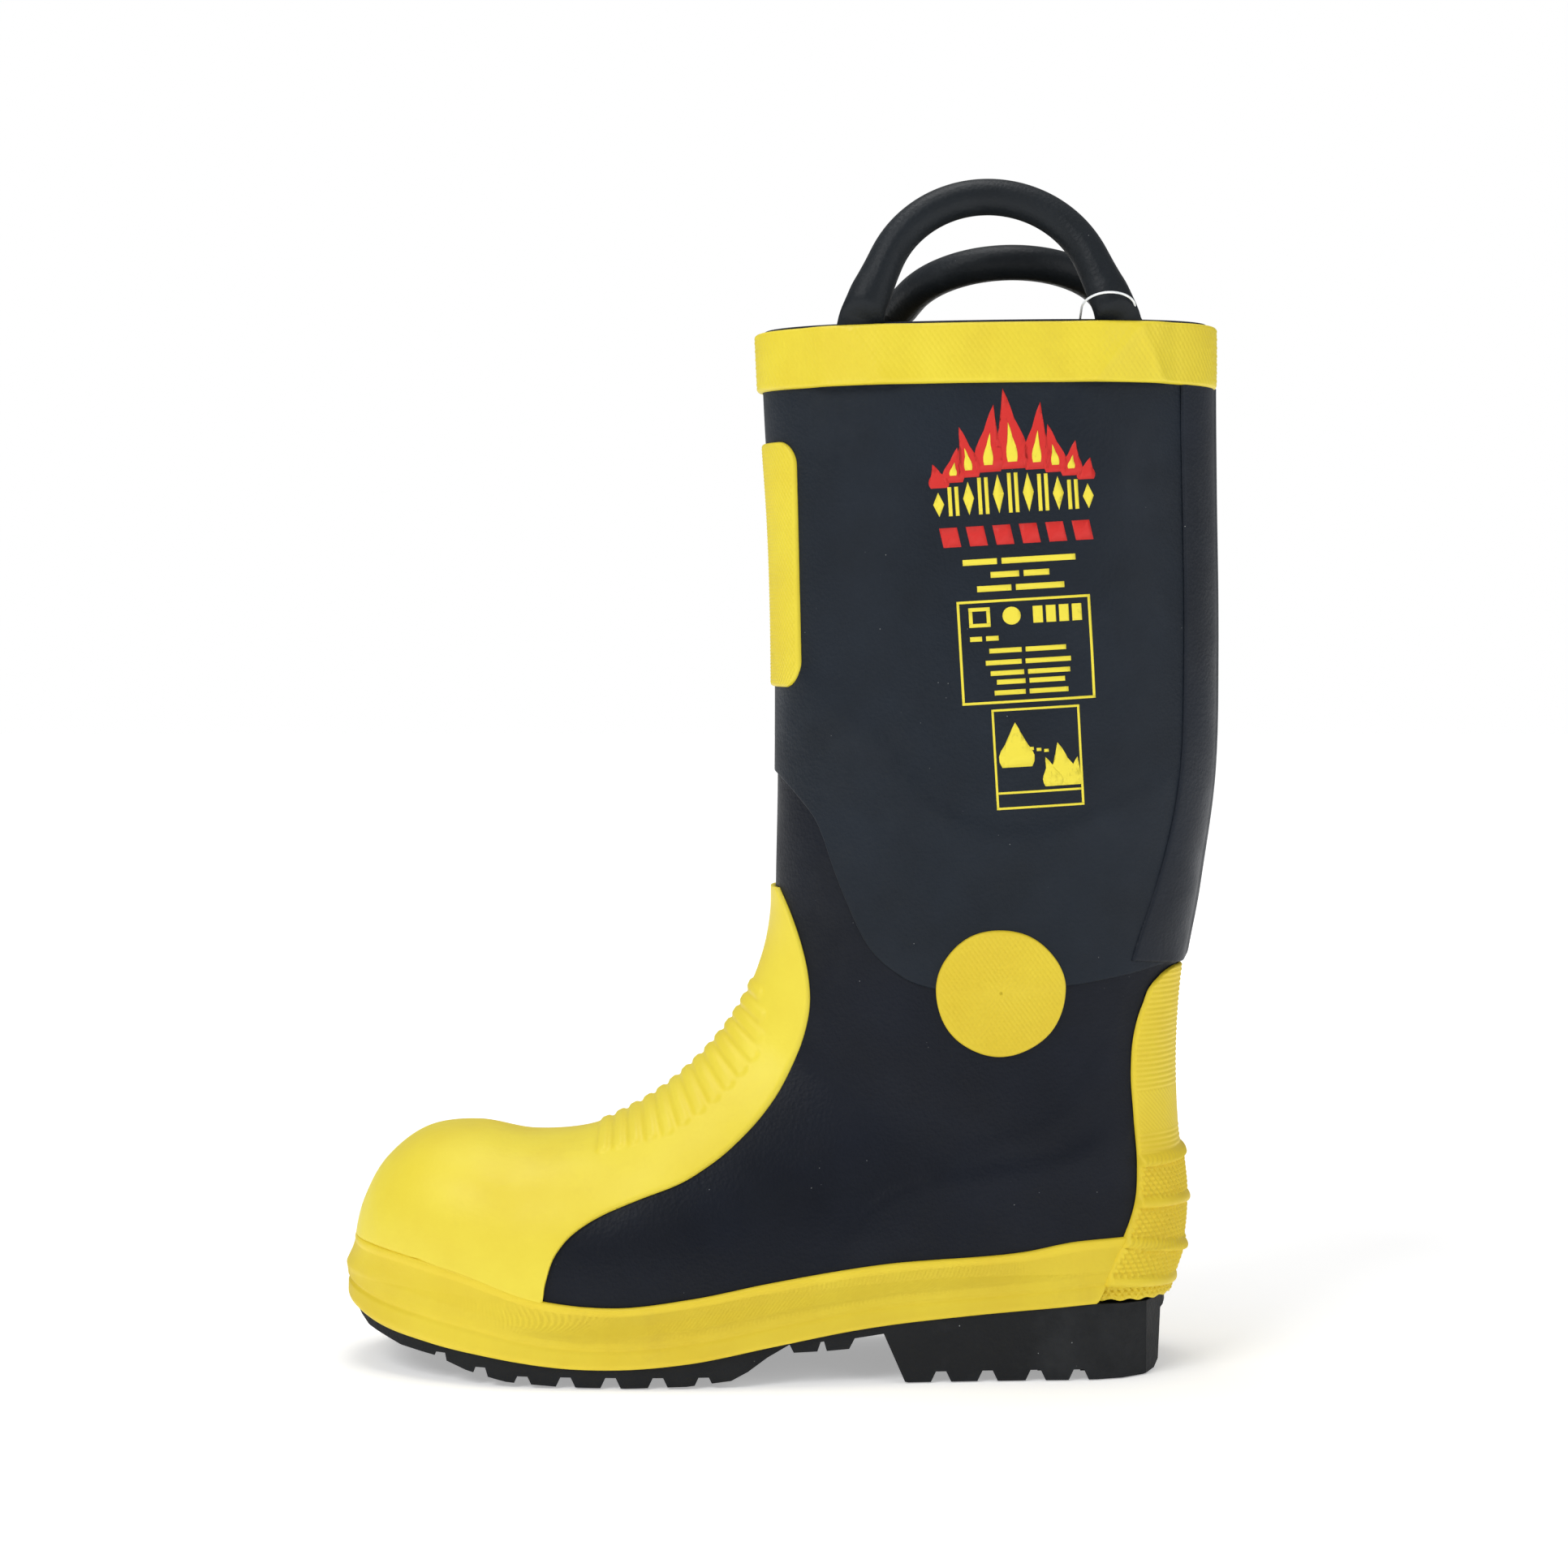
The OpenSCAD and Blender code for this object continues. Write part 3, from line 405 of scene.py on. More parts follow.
def ply_step(p, line, height, soft, fade):
    """Raised area below a line, with a soft edge that dies away downwards."""
    x, z = p[..., 0], p[..., 2]
    xs = np.array(line)[:, 0]
    edge = smooth(x, line)
    tilt = (smooth(x + 1, line) - smooth(x - 1, line)) / 2
    below = (edge - z) / np.sqrt(1 + tilt ** 2)
    ends = slope(x, xs[0], 9) * slope(xs[-1] - x, 0, 6)
    return height * soft_step(below / soft) * np.exp(-np.maximum(below, 0) / fade) * ends ** .5


def waviness(p, height=.12):
    """Slight unevenness of a hand-lasted boot."""
    x, y, z = p[..., 0], p[..., 1], p[..., 2]
    broad = np.sin(x / 11 + z / 17) * np.sin(z / 13 - y / 19)
    return height * (broad + .6 * np.sin(x / 5.3 - z / 7.9 + y / 6.1))


def leg_lift(p):
    """Relief of the leg sheet over the plies below it."""
    return ply_step(p, PLY_LEG, .75, 1.2, 22) + waviness(p)


def cap_step(v):
    """How far lining and footbed step in behind the toecap."""
    return np.interp(v, (16.35, 17.1), (0, -.85))[:, None]


def dots(s, t, across, down):
    """Staggered low dots, across apart in a row, rows half of down apart."""
    return np.cos(2 * np.pi * s / across) * np.cos(2 * np.pi * t / down)


# ---- materials
class Nodes:
    """Small helper to build a material's node tree."""

    def __init__(self, name):
        self.material = bpy.data.materials.new(name)
        self.material.use_nodes = True
        self.tree = self.material.node_tree
        self.shader = self.tree.nodes["Principled BSDF"]
        self.place = self.add("ShaderNodeTexCoord").outputs["Object"]

    def add(self, kind, **values):
        node = self.tree.nodes.new(kind)
        for key, value in values.items():
            setattr(node, key, value)
        return node

    def link(self, source, target):
        self.tree.links.new(source, target)

    def noise(self, scale, detail=4.0, rough=.55):
        node = self.add("ShaderNodeTexNoise")
        self.link(self.place, node.inputs["Vector"])
        node.inputs["Scale"].default_value = scale
        node.inputs["Detail"].default_value = detail
        node.inputs["Roughness"].default_value = rough
        return node.outputs["Fac"]

    def cells(self, scale):
        node = self.add("ShaderNodeTexVoronoi")
        self.link(self.place, node.inputs["Vector"])
        node.inputs["Scale"].default_value = scale
        return node.outputs["Distance"]

    def ramp(self, source, low, high, a=0.0, b=1.0):
        node = self.add("ShaderNodeMapRange")
        self.link(source, node.inputs["Value"])
        for key, value in (("From Min", low), ("From Max", high), ("To Min", a), ("To Max", b)):
            node.inputs[key].default_value = value
        return node.outputs["Result"]

    def math(self, operation, a, b):
        node = self.add("ShaderNodeMath", operation=operation)
        for socket, value in zip(node.inputs, (a, b)):
            if isinstance(value, (int, float)):
                socket.default_value = value
            else:
                self.link(value, socket)
        return node.outputs[0]

    def mix(self, share, a, b):
        node = self.add("ShaderNodeMix", data_type="RGBA")
        if isinstance(share, float):
            node.inputs["Factor"].default_value = share
        else:
            self.link(share, node.inputs["Factor"])
        for key, value in (("A", a), ("B", b)):
            socket = [s for s in node.inputs if s.name == key and s.type == "RGBA"][0]
            if isinstance(value, tuple):
                socket.default_value = (*value, 1)
            else:
                self.link(value, socket)
        return [s for s in node.outputs if s.type == "RGBA"][0]

    def bump(self, height, distance, below=None):
        node = self.add("ShaderNodeBump")
        node.inputs["Distance"].default_value = distance
        self.link(height, node.inputs["Height"])
        if below is not None:
            self.link(below, node.inputs["Normal"])
        return node.outputs["Normal"]

    def uneven(self, scale, low, high, detail=4.0):
        """Roughness that wanders between two values."""
        return self.ramp(self.noise(scale, detail), .3, .7, low, high)

    def finish(self, color, rough, normal=None, specular=.45, metallic=0.0):
        self.link(color, self.shader.inputs["Base Color"])
        self.link(rough, self.shader.inputs["Roughness"])
        if normal is not None:
            self.link(normal, self.shader.inputs["Normal"])
        self.shader.inputs["Specular IOR Level"].default_value = specular
        self.shader.inputs["Metallic"].default_value = metallic
        return self.material


def linear(r, g, b):
    """Colour given as 0-255 screen values, as the shader wants it."""
    return tuple(((c / 255 + .055) / 1.055) ** 2.4 if c > 10 else c / 3294.6 for c in (r, g, b))


def black_rubber(name, tone, rough=.46, dust=.5):
    """Dull moulded rubber: fine hide-like grain, soft mottling, scattered dust."""
    n = Nodes(name)
    grain = .00008
    dark = tuple(c * .72 for c in tone)
    mottled = n.mix(n.ramp(n.noise(28, 5), .35, .68), dark, tone)
    speck = n.math("MULTIPLY", n.ramp(n.cells(230), .05, .03), n.ramp(n.noise(60, 2), .56, .6))
    haze = n.ramp(n.noise(9, 6, .7), .56, .8, 0, .12 * dust)
    dusty = n.mix(haze, mottled, (.16, .17, .18))
    color = n.mix(n.math("MULTIPLY", speck, dust), dusty, (.34, .35, .35))
    hide = n.math("ADD", n.ramp(n.cells(700), 0, .9), n.ramp(n.noise(1500, 3), 0, 1))
    normal = n.bump(hide, grain)
    normal = n.bump(n.noise(110, 3), grain * 1.6, normal)
    roughness = n.math("ADD", n.uneven(45, rough - .06, rough + .08), n.math("MULTIPLY", haze, 1.5))
    return n.finish(color, roughness, normal, specular=.2)


def yellow_rubber(name, tone, rough=.5, grime=.25):
    """Opaque yellow rubber: even colour, faint smudges, satin surface."""
    n = Nodes(name)
    grain = .00005
    deep = (tone[0] * .93, tone[1] * .88, tone[2] * .7)
    even = n.mix(n.ramp(n.noise(22, 5), .35, .7), deep, tone)
    smudge = n.math("MULTIPLY", n.ramp(n.noise(14, 7, .72), .57, .8), grime)
    color = n.mix(smudge, even, (tone[0] * .62, tone[1] * .5, tone[2] * .6))
    normal = n.bump(n.math("ADD", n.noise(900, 3), n.ramp(n.cells(480), 0, 1)), grain)
    normal = n.bump(n.noise(90, 3), grain * 1.5, normal)
    return n.finish(color, n.uneven(50, rough - .06, rough + .07), normal)


def woven(name, tone, pitch=.0011):
    """Knitted or felted cloth, its ribs following the boot."""
    n = Nodes(name)
    fuzz = n.noise(1 / pitch * 1.7, 6, .7)
    color = n.mix(n.ramp(fuzz, .35, .65), tuple(c * .6 for c in tone), tone)
    normal = n.bump(n.math("ADD", fuzz, n.ramp(n.cells(1 / pitch), 0, .8)), pitch * .4)
    return n.finish(color, n.uneven(80, .86, .97), normal, specular=.2)


def steel(name):
    """Pressed sheet steel with faint mill marks and a thin oil film."""
    n = Nodes(name)
    tone = (.42, .43, .45)
    color = n.mix(n.ramp(n.noise(60, 6), .35, .7), tuple(c * .8 for c in tone), tone)
    normal = n.bump(n.noise(500, 3), .00003)
    return n.finish(color, n.uneven(120, .26, .46, 5), normal, metallic=.95)


def board(name, tone, grain=.00015):
    """Fibre board or cork: specks on a matt ground."""
    n = Nodes(name)
    fleck = n.ramp(n.cells(420), .15, .6)
    color = n.mix(fleck, tuple(c * .55 for c in tone), tone)
    return n.finish(color, n.uneven(90, .75, .92), n.bump(n.noise(700, 5), grain))


def filament(name):
    """Clear plastic line."""
    n = Nodes(name)
    color = n.mix(n.ramp(n.noise(300), .3, .7), (.75, .78, .8), (.92, .94, .95))
    return n.finish(color, n.uneven(200, .12, .25), n.bump(n.noise(900), .00001), specular=.6)


def ink(name, tone):
    """Screen-printed ink, a little worn."""
    n = Nodes(name)
    worn = n.ramp(n.noise(420, 5, .7), .6, .78, 0, .45)
    color = n.mix(worn, tone, tuple(c * .35 for c in tone))
    return n.finish(color, n.uneven(150, .5, .62), n.bump(n.noise(700), .00002))


M = {
    "shaft": black_rubber("shaft_rubber", linear(25, 33, 43)),
    "foot": black_rubber("foot_rubber", linear(13, 19, 31)),
    "strip": black_rubber("strip_rubber", linear(27, 33, 43), dust=.7),
    "sole": black_rubber("sole_rubber", linear(27, 29, 32), .6, dust=1.3),
    "handle": black_rubber("handle_rubber", linear(27, 32, 37), .44, dust=1.1),
    "toe": yellow_rubber("toe_yellow", linear(238, 220, 66)),
    "foxing": yellow_rubber("foxing_yellow", linear(236, 212, 52), .52, grime=.4),
    "guard": yellow_rubber("guard_yellow", linear(234, 210, 52), .55, grime=.35),
    "band": yellow_rubber("band_yellow", linear(230, 212, 54), .5),
    "disc": yellow_rubber("disc_yellow", linear(224, 200, 44), .55),
    "lining": woven("lining_cloth", linear(196, 184, 150)),
    "footbed": woven("footbed_cloth", linear(70, 76, 84), .0008),
    "felt": woven("felt", linear(168, 160, 144), .0016),
    "ply": woven("ply_cloth", linear(92, 90, 88), .0012),
    "steel": steel("steel"),
    "board": board("insole_fibre", linear(168, 138, 102)),
    "cork": board("filler_cork", linear(140, 108, 74), .0003),
    "cord": woven("handle_cord", linear(190, 184, 170), .0006),
    "filament": filament("clear_filament"),
    "ink_yellow": ink("ink_yellow", linear(235, 218, 60)),
    "ink_red": ink("ink_red", linear(205, 32, 26)),
}


# ---- rubber skins
def foot_rubber():
    """Lower rubber skin, with the plies that show through it."""
    v = even_v(3.6, 23.85, count(400, 2), (0, .2, .6))
    u, _ = even_u(v, 0.0, 360.0, count(290, 1.8), closed=True)
    p = pt(v[:, None], u)
    lift = ply_step(p, PLY_HEEL, 1.3, 1.0, 17) + ply_step(p, PLY_ANKLE, .6, .8, 12) + waviness(p)
    lift *= slope(p[..., 2], 40, 12)
    start = rounded(run_lengths(p, 0), .8)
    skin = shell(pt(v[:, None], u, lift * start), pt(v[:, None], u, -1.25), wrap=True, cap=True)
    add_piece("foot_rubber", skin, M["foot"], "foot_upper")


def leg_rubber():
    """Leg sheet, lapped over the foot skin along the seam."""
    columns = count(290, 1.7)
    u = even_u(np.array([2.0]), 0.0, 360.0, columns, closed=True)[0][0]

    def above_seam(v):
        p = pt(v, u, LEATHER_OUT)
        return p[..., 2] - smooth(p[..., 0], SEAM)

    ends = cross(above_seam, 2, 14, u)
    near = np.array([0, .006, .014, .024, .04])
    share = np.concatenate([np.linspace(0, .96, count(230, 1.8)), 1 - near[::-1] / 4])
    v = ends[None] * share[:, None]
    p = pt(v, u[None])
    run = run_lengths(p, 0)
    left = run[-1:] - run
    thick = (LEATHER_OUT + leg_lift(p)) * rounded(left, .9) + .12 * (1 - rounded(left, .9))
    skin = shell(pt(v, u[None], thick), pt(v, u[None], .03), wrap=True)
    add_piece("leg_rubber", skin, M["shaft"], "leg_upper")


def inner_rim():
    """Inner ply of the leg; its rolled rim shows above the band."""
    v = even_v(0, 3.57, count(170, 4), (0, .15, .4, .8))
    u, _ = even_u(v, 0.0, 360.0, count(290, 2.5), closed=True)
    p = pt(v[:, None], u)
    top = rounded(run_lengths(p, 0), .7)
    outer = pt(v[:, None], u, -.65 + .6 * top)
    inner = pt(v[:, None], u, -.65 - .65 * top)
    rise = (.9 * np.exp(-run_lengths(p, 0) / 2.2))[..., None] * np.array([0, 0, 1])
    skin = shell(outer + rise, inner + rise, wrap=True)
    add_piece("inner_ply_rim", skin, M["strip"], "leg_inner_ply")


def lining_sock():
    """Cloth lining from collar to toe, stepped in behind the toecap."""
    v = even_v(.1, 22.35, count(380, 3), (0, .3, .9))
    u, _ = even_u(v, 0.0, 360.0, count(270, 3), closed=True)
    step = cap_step(v)
    p = pt(v[:, None], u)
    folds = .25 * np.sin(u * np.pi / 12 + v[:, None] * 2.1) * np.sin(v[:, None] * 5.3)
    top = rounded(run_lengths(p, 0), .5)
    outer = pt(v[:, None], u, -2.85 + .45 * top + step)
    inner = pt(v[:, None], u, -2.85 - .45 * top + step + np.minimum(folds, 0))
    skin = shell(outer, inner, wrap=True, cap=True)
    add_piece("lining_sock", skin, M["lining"], "lining")


def footbed_pad():
    """Removable cupped footbed with a rolled edge."""
    v = even_v(11.6, 21.2, count(250, 3), ROUND, (180,))
    share = np.linspace(-1, 1, count(90, 2))
    u = 180 + 51.4 * share[None]
    low = -3.9 + cap_step(v)
    thick = 1.4 + 3.6 * np.maximum(0, np.sin(np.radians(90 - 77 * np.abs(share))))[None] ** .6
    run = run_lengths(pt(v[:, None], u), 0)
    ends = rounded(np.minimum(run, run[-1:] - run), 2.5)
    sides = rounded((1 - np.abs(share))[None] * 45, 1.5)
    outer = pt(v[:, None], u, low)
    inner = pt(v[:, None], u, low - .1 - (thick - .1) * ends * sides)
    add_piece("footbed_pad", shell(outer, inner), M["footbed"], "footbed", "footbed")


# ---- yellow guards
INSTEP_FIRST = 25
INSTEP_LAST = 73
INSTEP_COUNT = 14
RIB_HEIGHT = .95
# How far the cover runs under the foxing
LAP = 1.2


def toe_cover():
    """Smooth yellow cover of toe and instep with round-ended ribs."""
    top = 1.8
    v_end = cross(lambda v: pt(v, 0.0)[..., 2] - smooth(pt(v, 0.0)[..., 0], FOX_TOP) + LAP, 18, LAST)[0]
    v = even_v(5.05, v_end, count(300, .8), ROUND, (0,))

    def inside(u):
        p = pt(v, u, top)
        return np.minimum(smooth(p[..., 2], COVER_EDGE) - p[..., 0],
                          p[..., 2] - smooth(p[..., 0], FOX_TOP) + LAP)

    edge = np.maximum(.8, cross(inside, 0, 178, v))
    u, border = even_u(v, -edge, edge, count(150, .95), ROUND)
    p = pt(v[:, None], u, top)
    along = run_lengths(pt(v, 0.0, top)[None], 1)[0]
    middle = u.shape[1] // 2
    across = run_lengths(p, 1)
    across = np.abs(across - across[:, middle:middle + 1])
    angle = np.interp(np.linspace(INSTEP_FIRST, INSTEP_LAST, INSTEP_COUNT), [row[0] for row in FAN],
                      np.arange(len(FAN)) + 5.0)
    centres = np.interp(angle, v, along)
    ribs = np.zeros(u.shape)
    for k, centre in enumerate(centres):
        reach = np.interp(k, (0, 1, 3, 9, INSTEP_COUNT - 1), (13, 19, 26, 31, 27))
        beyond = np.maximum(across - reach, 0)
        # rib ends droop a little, as the fingers lean with the instep
        shift = .0022 * across ** 2
        gap = np.sqrt(beyond ** 2 + (along[:, None] - centre - shift) ** 2)
        ribs = np.maximum(ribs, RIB_HEIGHT * hump((gap - .9) / 1.9))
    thick = .1 + (top - .35 + waviness(p, .07)) * rounded(border, 1.1) + ribs
    skin = shell(pt(v[:, None], u, .3 + thick), pt(v[:, None], u, .1))
    add_piece("toe_instep_cover", skin, M["toe"], "toe_vamp_cover")


def foxing():
    """Yellow foxing strip: rolled lip, waist, knurled bulge and lower crease."""
    across_pitch, down_pitch = .78, .62
    rows = int(37 / down_pitch) if FINE == 1 else 24
    w = np.concatenate([[0, .004, .015, .03], np.linspace(.05, 1, rows)])

    # every row meets its mirror image on the middle line of the toe
    tip_top, tip_low = FOX_TOP[0][1], float(smooth(-248.2, FOX_BOTTOM))
    z_tip = np.maximum(tip_top + (tip_low - tip_top) * w, EDGE_HEIGHT[0][1])
    v_stop = cross(lambda v: pt(v, 0.0)[..., 2] - z_tip, 18, 24, w)
    # the heel end slants under the guard's front edge
    x_end = 35.2 - 13.3 * w
    z_end = lookup(x_end, FOX_TOP) * (1 - w) + lookup(x_end, FOX_BOTTOM) * w
    z_end = np.maximum(z_end, lookup(x_end, EDGE_HEIGHT))
    v_start = cross(lambda v: x_end - pt(v, level_u(v, z_end))[..., 0], 14, 9, w, 20)

    def place(share, rows_w, off, side):
        v = v_start[:, None] + (v_stop - v_start)[:, None] * share
        ex = pt(v, 90.0)[..., 0]
        high = lookup(ex, EDGE_HEIGHT)
        u_edge = level_u(v, high)
        e = pt(v, u_edge, 0)
        z_top, z_low = smooth(e[..., 0], FOX_TOP), smooth(e[..., 0], FOX_BOTTOM)
        z = z_top + (z_low - z_top) * rows_w[:, None]
        u_level = level_u(v, np.maximum(z, high))
        p = pt(v, side * u_level, off(e[..., 0], rows_w[:, None]))
        p[..., 2] = z
        return p

    fine = np.linspace(0, 1, 400)
    middle = place(fine, w, lambda x, r: 2.0, 1)[len(w) // 2]
    run = run_lengths(middle[None], 1)[0]
    half = int(run[-1] / across_pitch) if FINE == 1 else 160
    share = np.interp(np.linspace(0, run[-1], half), run, fine)

    def profile(x, r):
        bulge = lookup(x, FOX_BULGE)
        shape = np.interp(r[:, 0], (0, .004, .015, .03, .07, .12, .2, .45, .64, .69, .74, .9, .96, 1),
                          (0, .25, .42, .5, .53, .3, .5, 1, .9, .7, .88, .9, .82, .6))[:, None]
        lip = 1.5 * np.interp(r, (0, .004, .015, .03, .12, .3), (.25, .6, .9, 1, .9, 0))
        return np.maximum(.35, lip + bulge * shape * np.interp(r, (0, .12, .3), (.25, .5, 1)))

    def inner_profile(x, r):
        return np.minimum(np.maximum(.25, lookup(x, SOLE_EDGE) + .25), profile(x, r) - .1)

    outer = mirrored(lambda side: place(share, w, profile, side))
    inner = mirrored(lambda side: place(share, w, inner_profile, side))
    r, c = np.indices(outer.shape[:2])
    high = (r + c) % 2 == 0
    ends = np.minimum(c, outer.shape[1] - 1 - c)
    fade = np.interp(w, (.1, .14, .93, .97), (0, 1, 1, 0))[:, None] * (ends > 1)
    normal = outer - inner
    normal[..., 2] = 0
    normal /= np.maximum(np.linalg.norm(normal, axis=-1, keepdims=True), 1e-6)
    outer = outer + normal * ((high * 2 - 1) * .13 * fade)[..., None]
    add_piece("foxing_band", shell(outer, inner, knurl=high), M["foxing"], "foxing_strip")


# Heel ridges: height at the front edge and at the back
RIDGES = [(79.1, 80.3), (64.6, 62.8), (50.6, 44.5), (37.1, 33.2)]
GUARD_TOP = 148.6
GUARD_HELD = 33


def heel_guard():
    """Heel guard: ribbed upper part, ridges and knobs below, scalloped foot."""
    z = np.concatenate([GUARD_TOP - NEAR, np.linspace(147.4, 28.1, count(122, .42)), [27.7, 27.3]])
    half = count(62, .45)
    f = np.concatenate([NEAR / 55, np.linspace(ROUND[-1] / 55, 1, half)])
    # rows below this height share its outline and are only moved down
    held = np.maximum(z, GUARD_HELD)
    v0 = cross(lambda v: pt(v, 180.0, 1.0)[..., 2] - held, 0, 11, z)
    xe = smooth(z, GUARD_EDGE)
    v1 = cross(lambda v: pt(v, level_u(v, held, 1.0), 1.0)[..., 0] - xe, v0 + .01, 13, z, 20)
    fine = np.linspace(0, 1, 160)
    v_fine = v1[:, None] + (v0 - v1)[:, None] * (1 - (1 - fine[None]) ** 1.6)
    u_fine = level_u(v_fine, held[:, None], 1.0)
    u_fine[:, -1] = 180
    arc = run_lengths(pt(v_fine, u_fine, 1.0), 1)
    place = f[None] * arc[:, -1:]
    spot = np.array([np.interp(place[k], arc[k], fine) for k in range(len(z))])
    v = np.array([np.interp(spot[k], fine, v_fine[k]) for k in range(len(z))])
    u = np.array([np.interp(spot[k], fine, u_fine[k]) for k in range(len(z))])
    border = np.minimum(place, np.abs(GUARD_TOP - z)[:, None])
    arc_back = arc[:, -1:] - place

    def texture(sign):
        s, t = arc_back * sign, z[:, None]
        share = place / arc[:, -1:]
        ribs = .16 * np.cos(2 * np.pi * t / 1.85) * (1 + .35 * np.cos(2 * np.pi * s / 1.1))
        fine_diamond = .12 * dots(s, t, 1.9, 1.9)
        relief = np.where((t > 103.7) | ((t > 82.5) & (t <= 89.3)), ribs, 0)
        relief += np.where((t > 89.3) & (t <= 103.7), fine_diamond, 0)
        knobs = 1.05 * np.clip(dots(s, t, 2.6, 3.4) + .15, 0, 1) ** .8
        relief = relief + knobs * slope(79 - t, 0, 1.5)
        for k, (at_side, at_back) in enumerate(RIDGES):
            line = at_side + (at_back - at_side) * share
            gap = np.abs(t - line)
            hatch = 1 + (.14 * np.cos(2 * np.pi * (s + t) / 2.1) if k % 2 == 0 else 0)
            body = np.clip(1 - (gap / 1.95) ** 2, 0, 1) ** .5
            relief = relief * slope(gap, 1.5, .8) + 2.1 * hatch * body
        return relief

    def side(sign):
        base = np.where(z < 48, 1.2, .4)[:, None]
        thick = np.where(z < 80, 1.5, 1.35)[:, None] * rounded(border, 1.1) + .12
        fade = slope(border, 0, .8) * slope(z, 27.3, 1.6)[:, None]
        out = pt(v, sign * u, base + thick + (texture(sign) + waviness(pt(v, u), .1)) * fade)
        back = pt(v, sign * u, base - .1)
        for grid in (out, back):
            scallop = .7 * np.sin(arc_back / 2.3) ** 2 + 1.2 * (1 - place / arc[:, -1:])
            scallop = scallop * slope(GUARD_HELD - z, 0, 6)[:, None]
            grid[..., 2] = np.where(z[:, None] < GUARD_HELD, z[:, None] + scallop, grid[..., 2])
        return out, back

    skin = shell(mirrored(lambda sign: side(sign)[0]), mirrored(lambda sign: side(sign)[1]))
    add_piece("heel_guard_moulding", skin, M["guard"], "heel_guard")


# Half width of the back strip, in degrees round the leg, by height
STRIP_HALF = [(147, 47.5), (162, 45), (191, 39.6), (218, 37.4), (265, 36.5), (359, 36.3)]


def back_strip():
    """Black strip up the back of the leg with a raised centre bead."""
    v0 = cross(lambda v: pt(v, 90.0)[..., 2] - 359.4, 0, 5)[0]
    v1 = cross(lambda v: pt(v, 180.0)[..., 2] - 149.5, 0, 11)[0]
    v = even_v(v0, v1, count(215, 1.6), ROUND, (180,))
    half = smooth(pt(v, 180.0)[..., 2], STRIP_HALF)
    u, border = even_u(v, 180 - half, 180 + half, count(60, .8), ROUND)
    p = pt(v[:, None], u)
    across = run_lengths(p, 1)
    centre = np.abs(across - across[:, -1:] / 2)
    down = run_lengths(p, 0)
    border = np.minimum(border, down[-1:] - down)
    bead = 1.35 * hump(centre / 6.2) ** .8
    thick = (.95 + waviness(p, .08)) * rounded(border, .9) + bead * slope(border, 0, 3)
    v = v[:, None]
    skin = shell(pt(v, u, LEATHER_OUT + .25 + thick), pt(v, u, LEATHER_OUT + .1))
    add_piece("back_seam_strip", skin, M["strip"], "back_strip")


def shin_patch():
    """Dotted yellow patch round the front of the shin."""
    z0, z1 = 339.6, 250.7
    radius = 9.0
    z = np.concatenate([z0 - NEAR, np.linspace(z0 - 1.1, z1 + 1.1, count(88, .42)), (z1 + NEAR)[::-1]])
    v = cross(lambda v: pt(v, 0.0)[..., 2] - z, 0, 5.5, z)
    x_edge = np.interp(z, (z1, z0), (-84.3, -86.4))
    full = cross(lambda u: x_edge - pt(v, u, LEATHER_OUT + 1)[..., 0], 0, 90, z)
    fine = np.linspace(0, 1, 60)
    arc = run_lengths(pt(v[:, None], full[:, None] * fine), 1)
    near_end = np.minimum(z0 - z, z - z1)
    corner = radius - np.sqrt(np.maximum(radius ** 2 - np.maximum(radius - near_end, 0) ** 2, 0))
    reach = arc[:, -1] - corner
    edge = np.array([np.interp(reach[k], arc[k], full[k] * fine) for k in range(len(z))])
    u, border = even_u(v, -edge, edge, count(60, .42), ROUND)
    p = pt(v[:, None], u)
    across = run_lengths(p, 1)
    s = across - across[:, -1:] / 2
    border = np.minimum(border, near_end[:, None])
    relief = .18 * dots(s, z[:, None], 1.75, 2.5) * slope(border, .9, .5)
    thick = (1.3 + waviness(p, .1)) * rounded(border, 1.0) + relief
    v = v[:, None]
    skin = shell(pt(v, u, LEATHER_OUT + .2 + thick), pt(v, u, LEATHER_OUT - .1))
    add_piece("shin_guard_patch", skin, M["band"], "shin_patch")


def ankle_disc(side, which):
    """Dotted round patch over the ankle, creased along the seam below it."""
    radius = 23
    rings = np.concatenate([np.linspace(0, 21.9, count(22, .36)), radius - NEAR[::-1]])[1:]
    spokes = count(2 * np.pi * radius, .42)
    turn = np.linspace(0, 2 * np.pi, spokes, endpoint=False)
    wobble = 1 + .006 * np.sin(3 * turn + 1) + .004 * np.sin(7 * turn)
    x = -12.2 + rings[:, None] * np.cos(turn) * wobble
    z = 141.2 + rings[:, None] * np.sin(turn) * wobble
    v, u = side_vu(x, z)
    border = radius - rings[:, None]
    step = .55 * soft_step((z - smooth(x, SEAM)) / .9)
    relief = .17 * dots(x, z, 1.75, 2.5) * slope(border, .9, .5)
    thick = (1.25 + step) * rounded(border, 1.0) + relief + waviness(pt(v, u), .08)
    outer = pt(v, side * u, .9 + thick)[::-1]
    inner = pt(v, side * u, .55)[::-1]
    skin = shell(outer, inner, wrap=True, cap=True)
    add_piece("ankle_patch_" + which, skin, M["disc"], "ankle_disc_" + which)


HANDLE_X = (-60.0, 26.4)
# side name, side sign, lean from upright in degrees, shift towards the heel
HANDLES = (("lateral", 1, 17, 0), ("medial", -1, 64, 11))
POCKET = 2.7


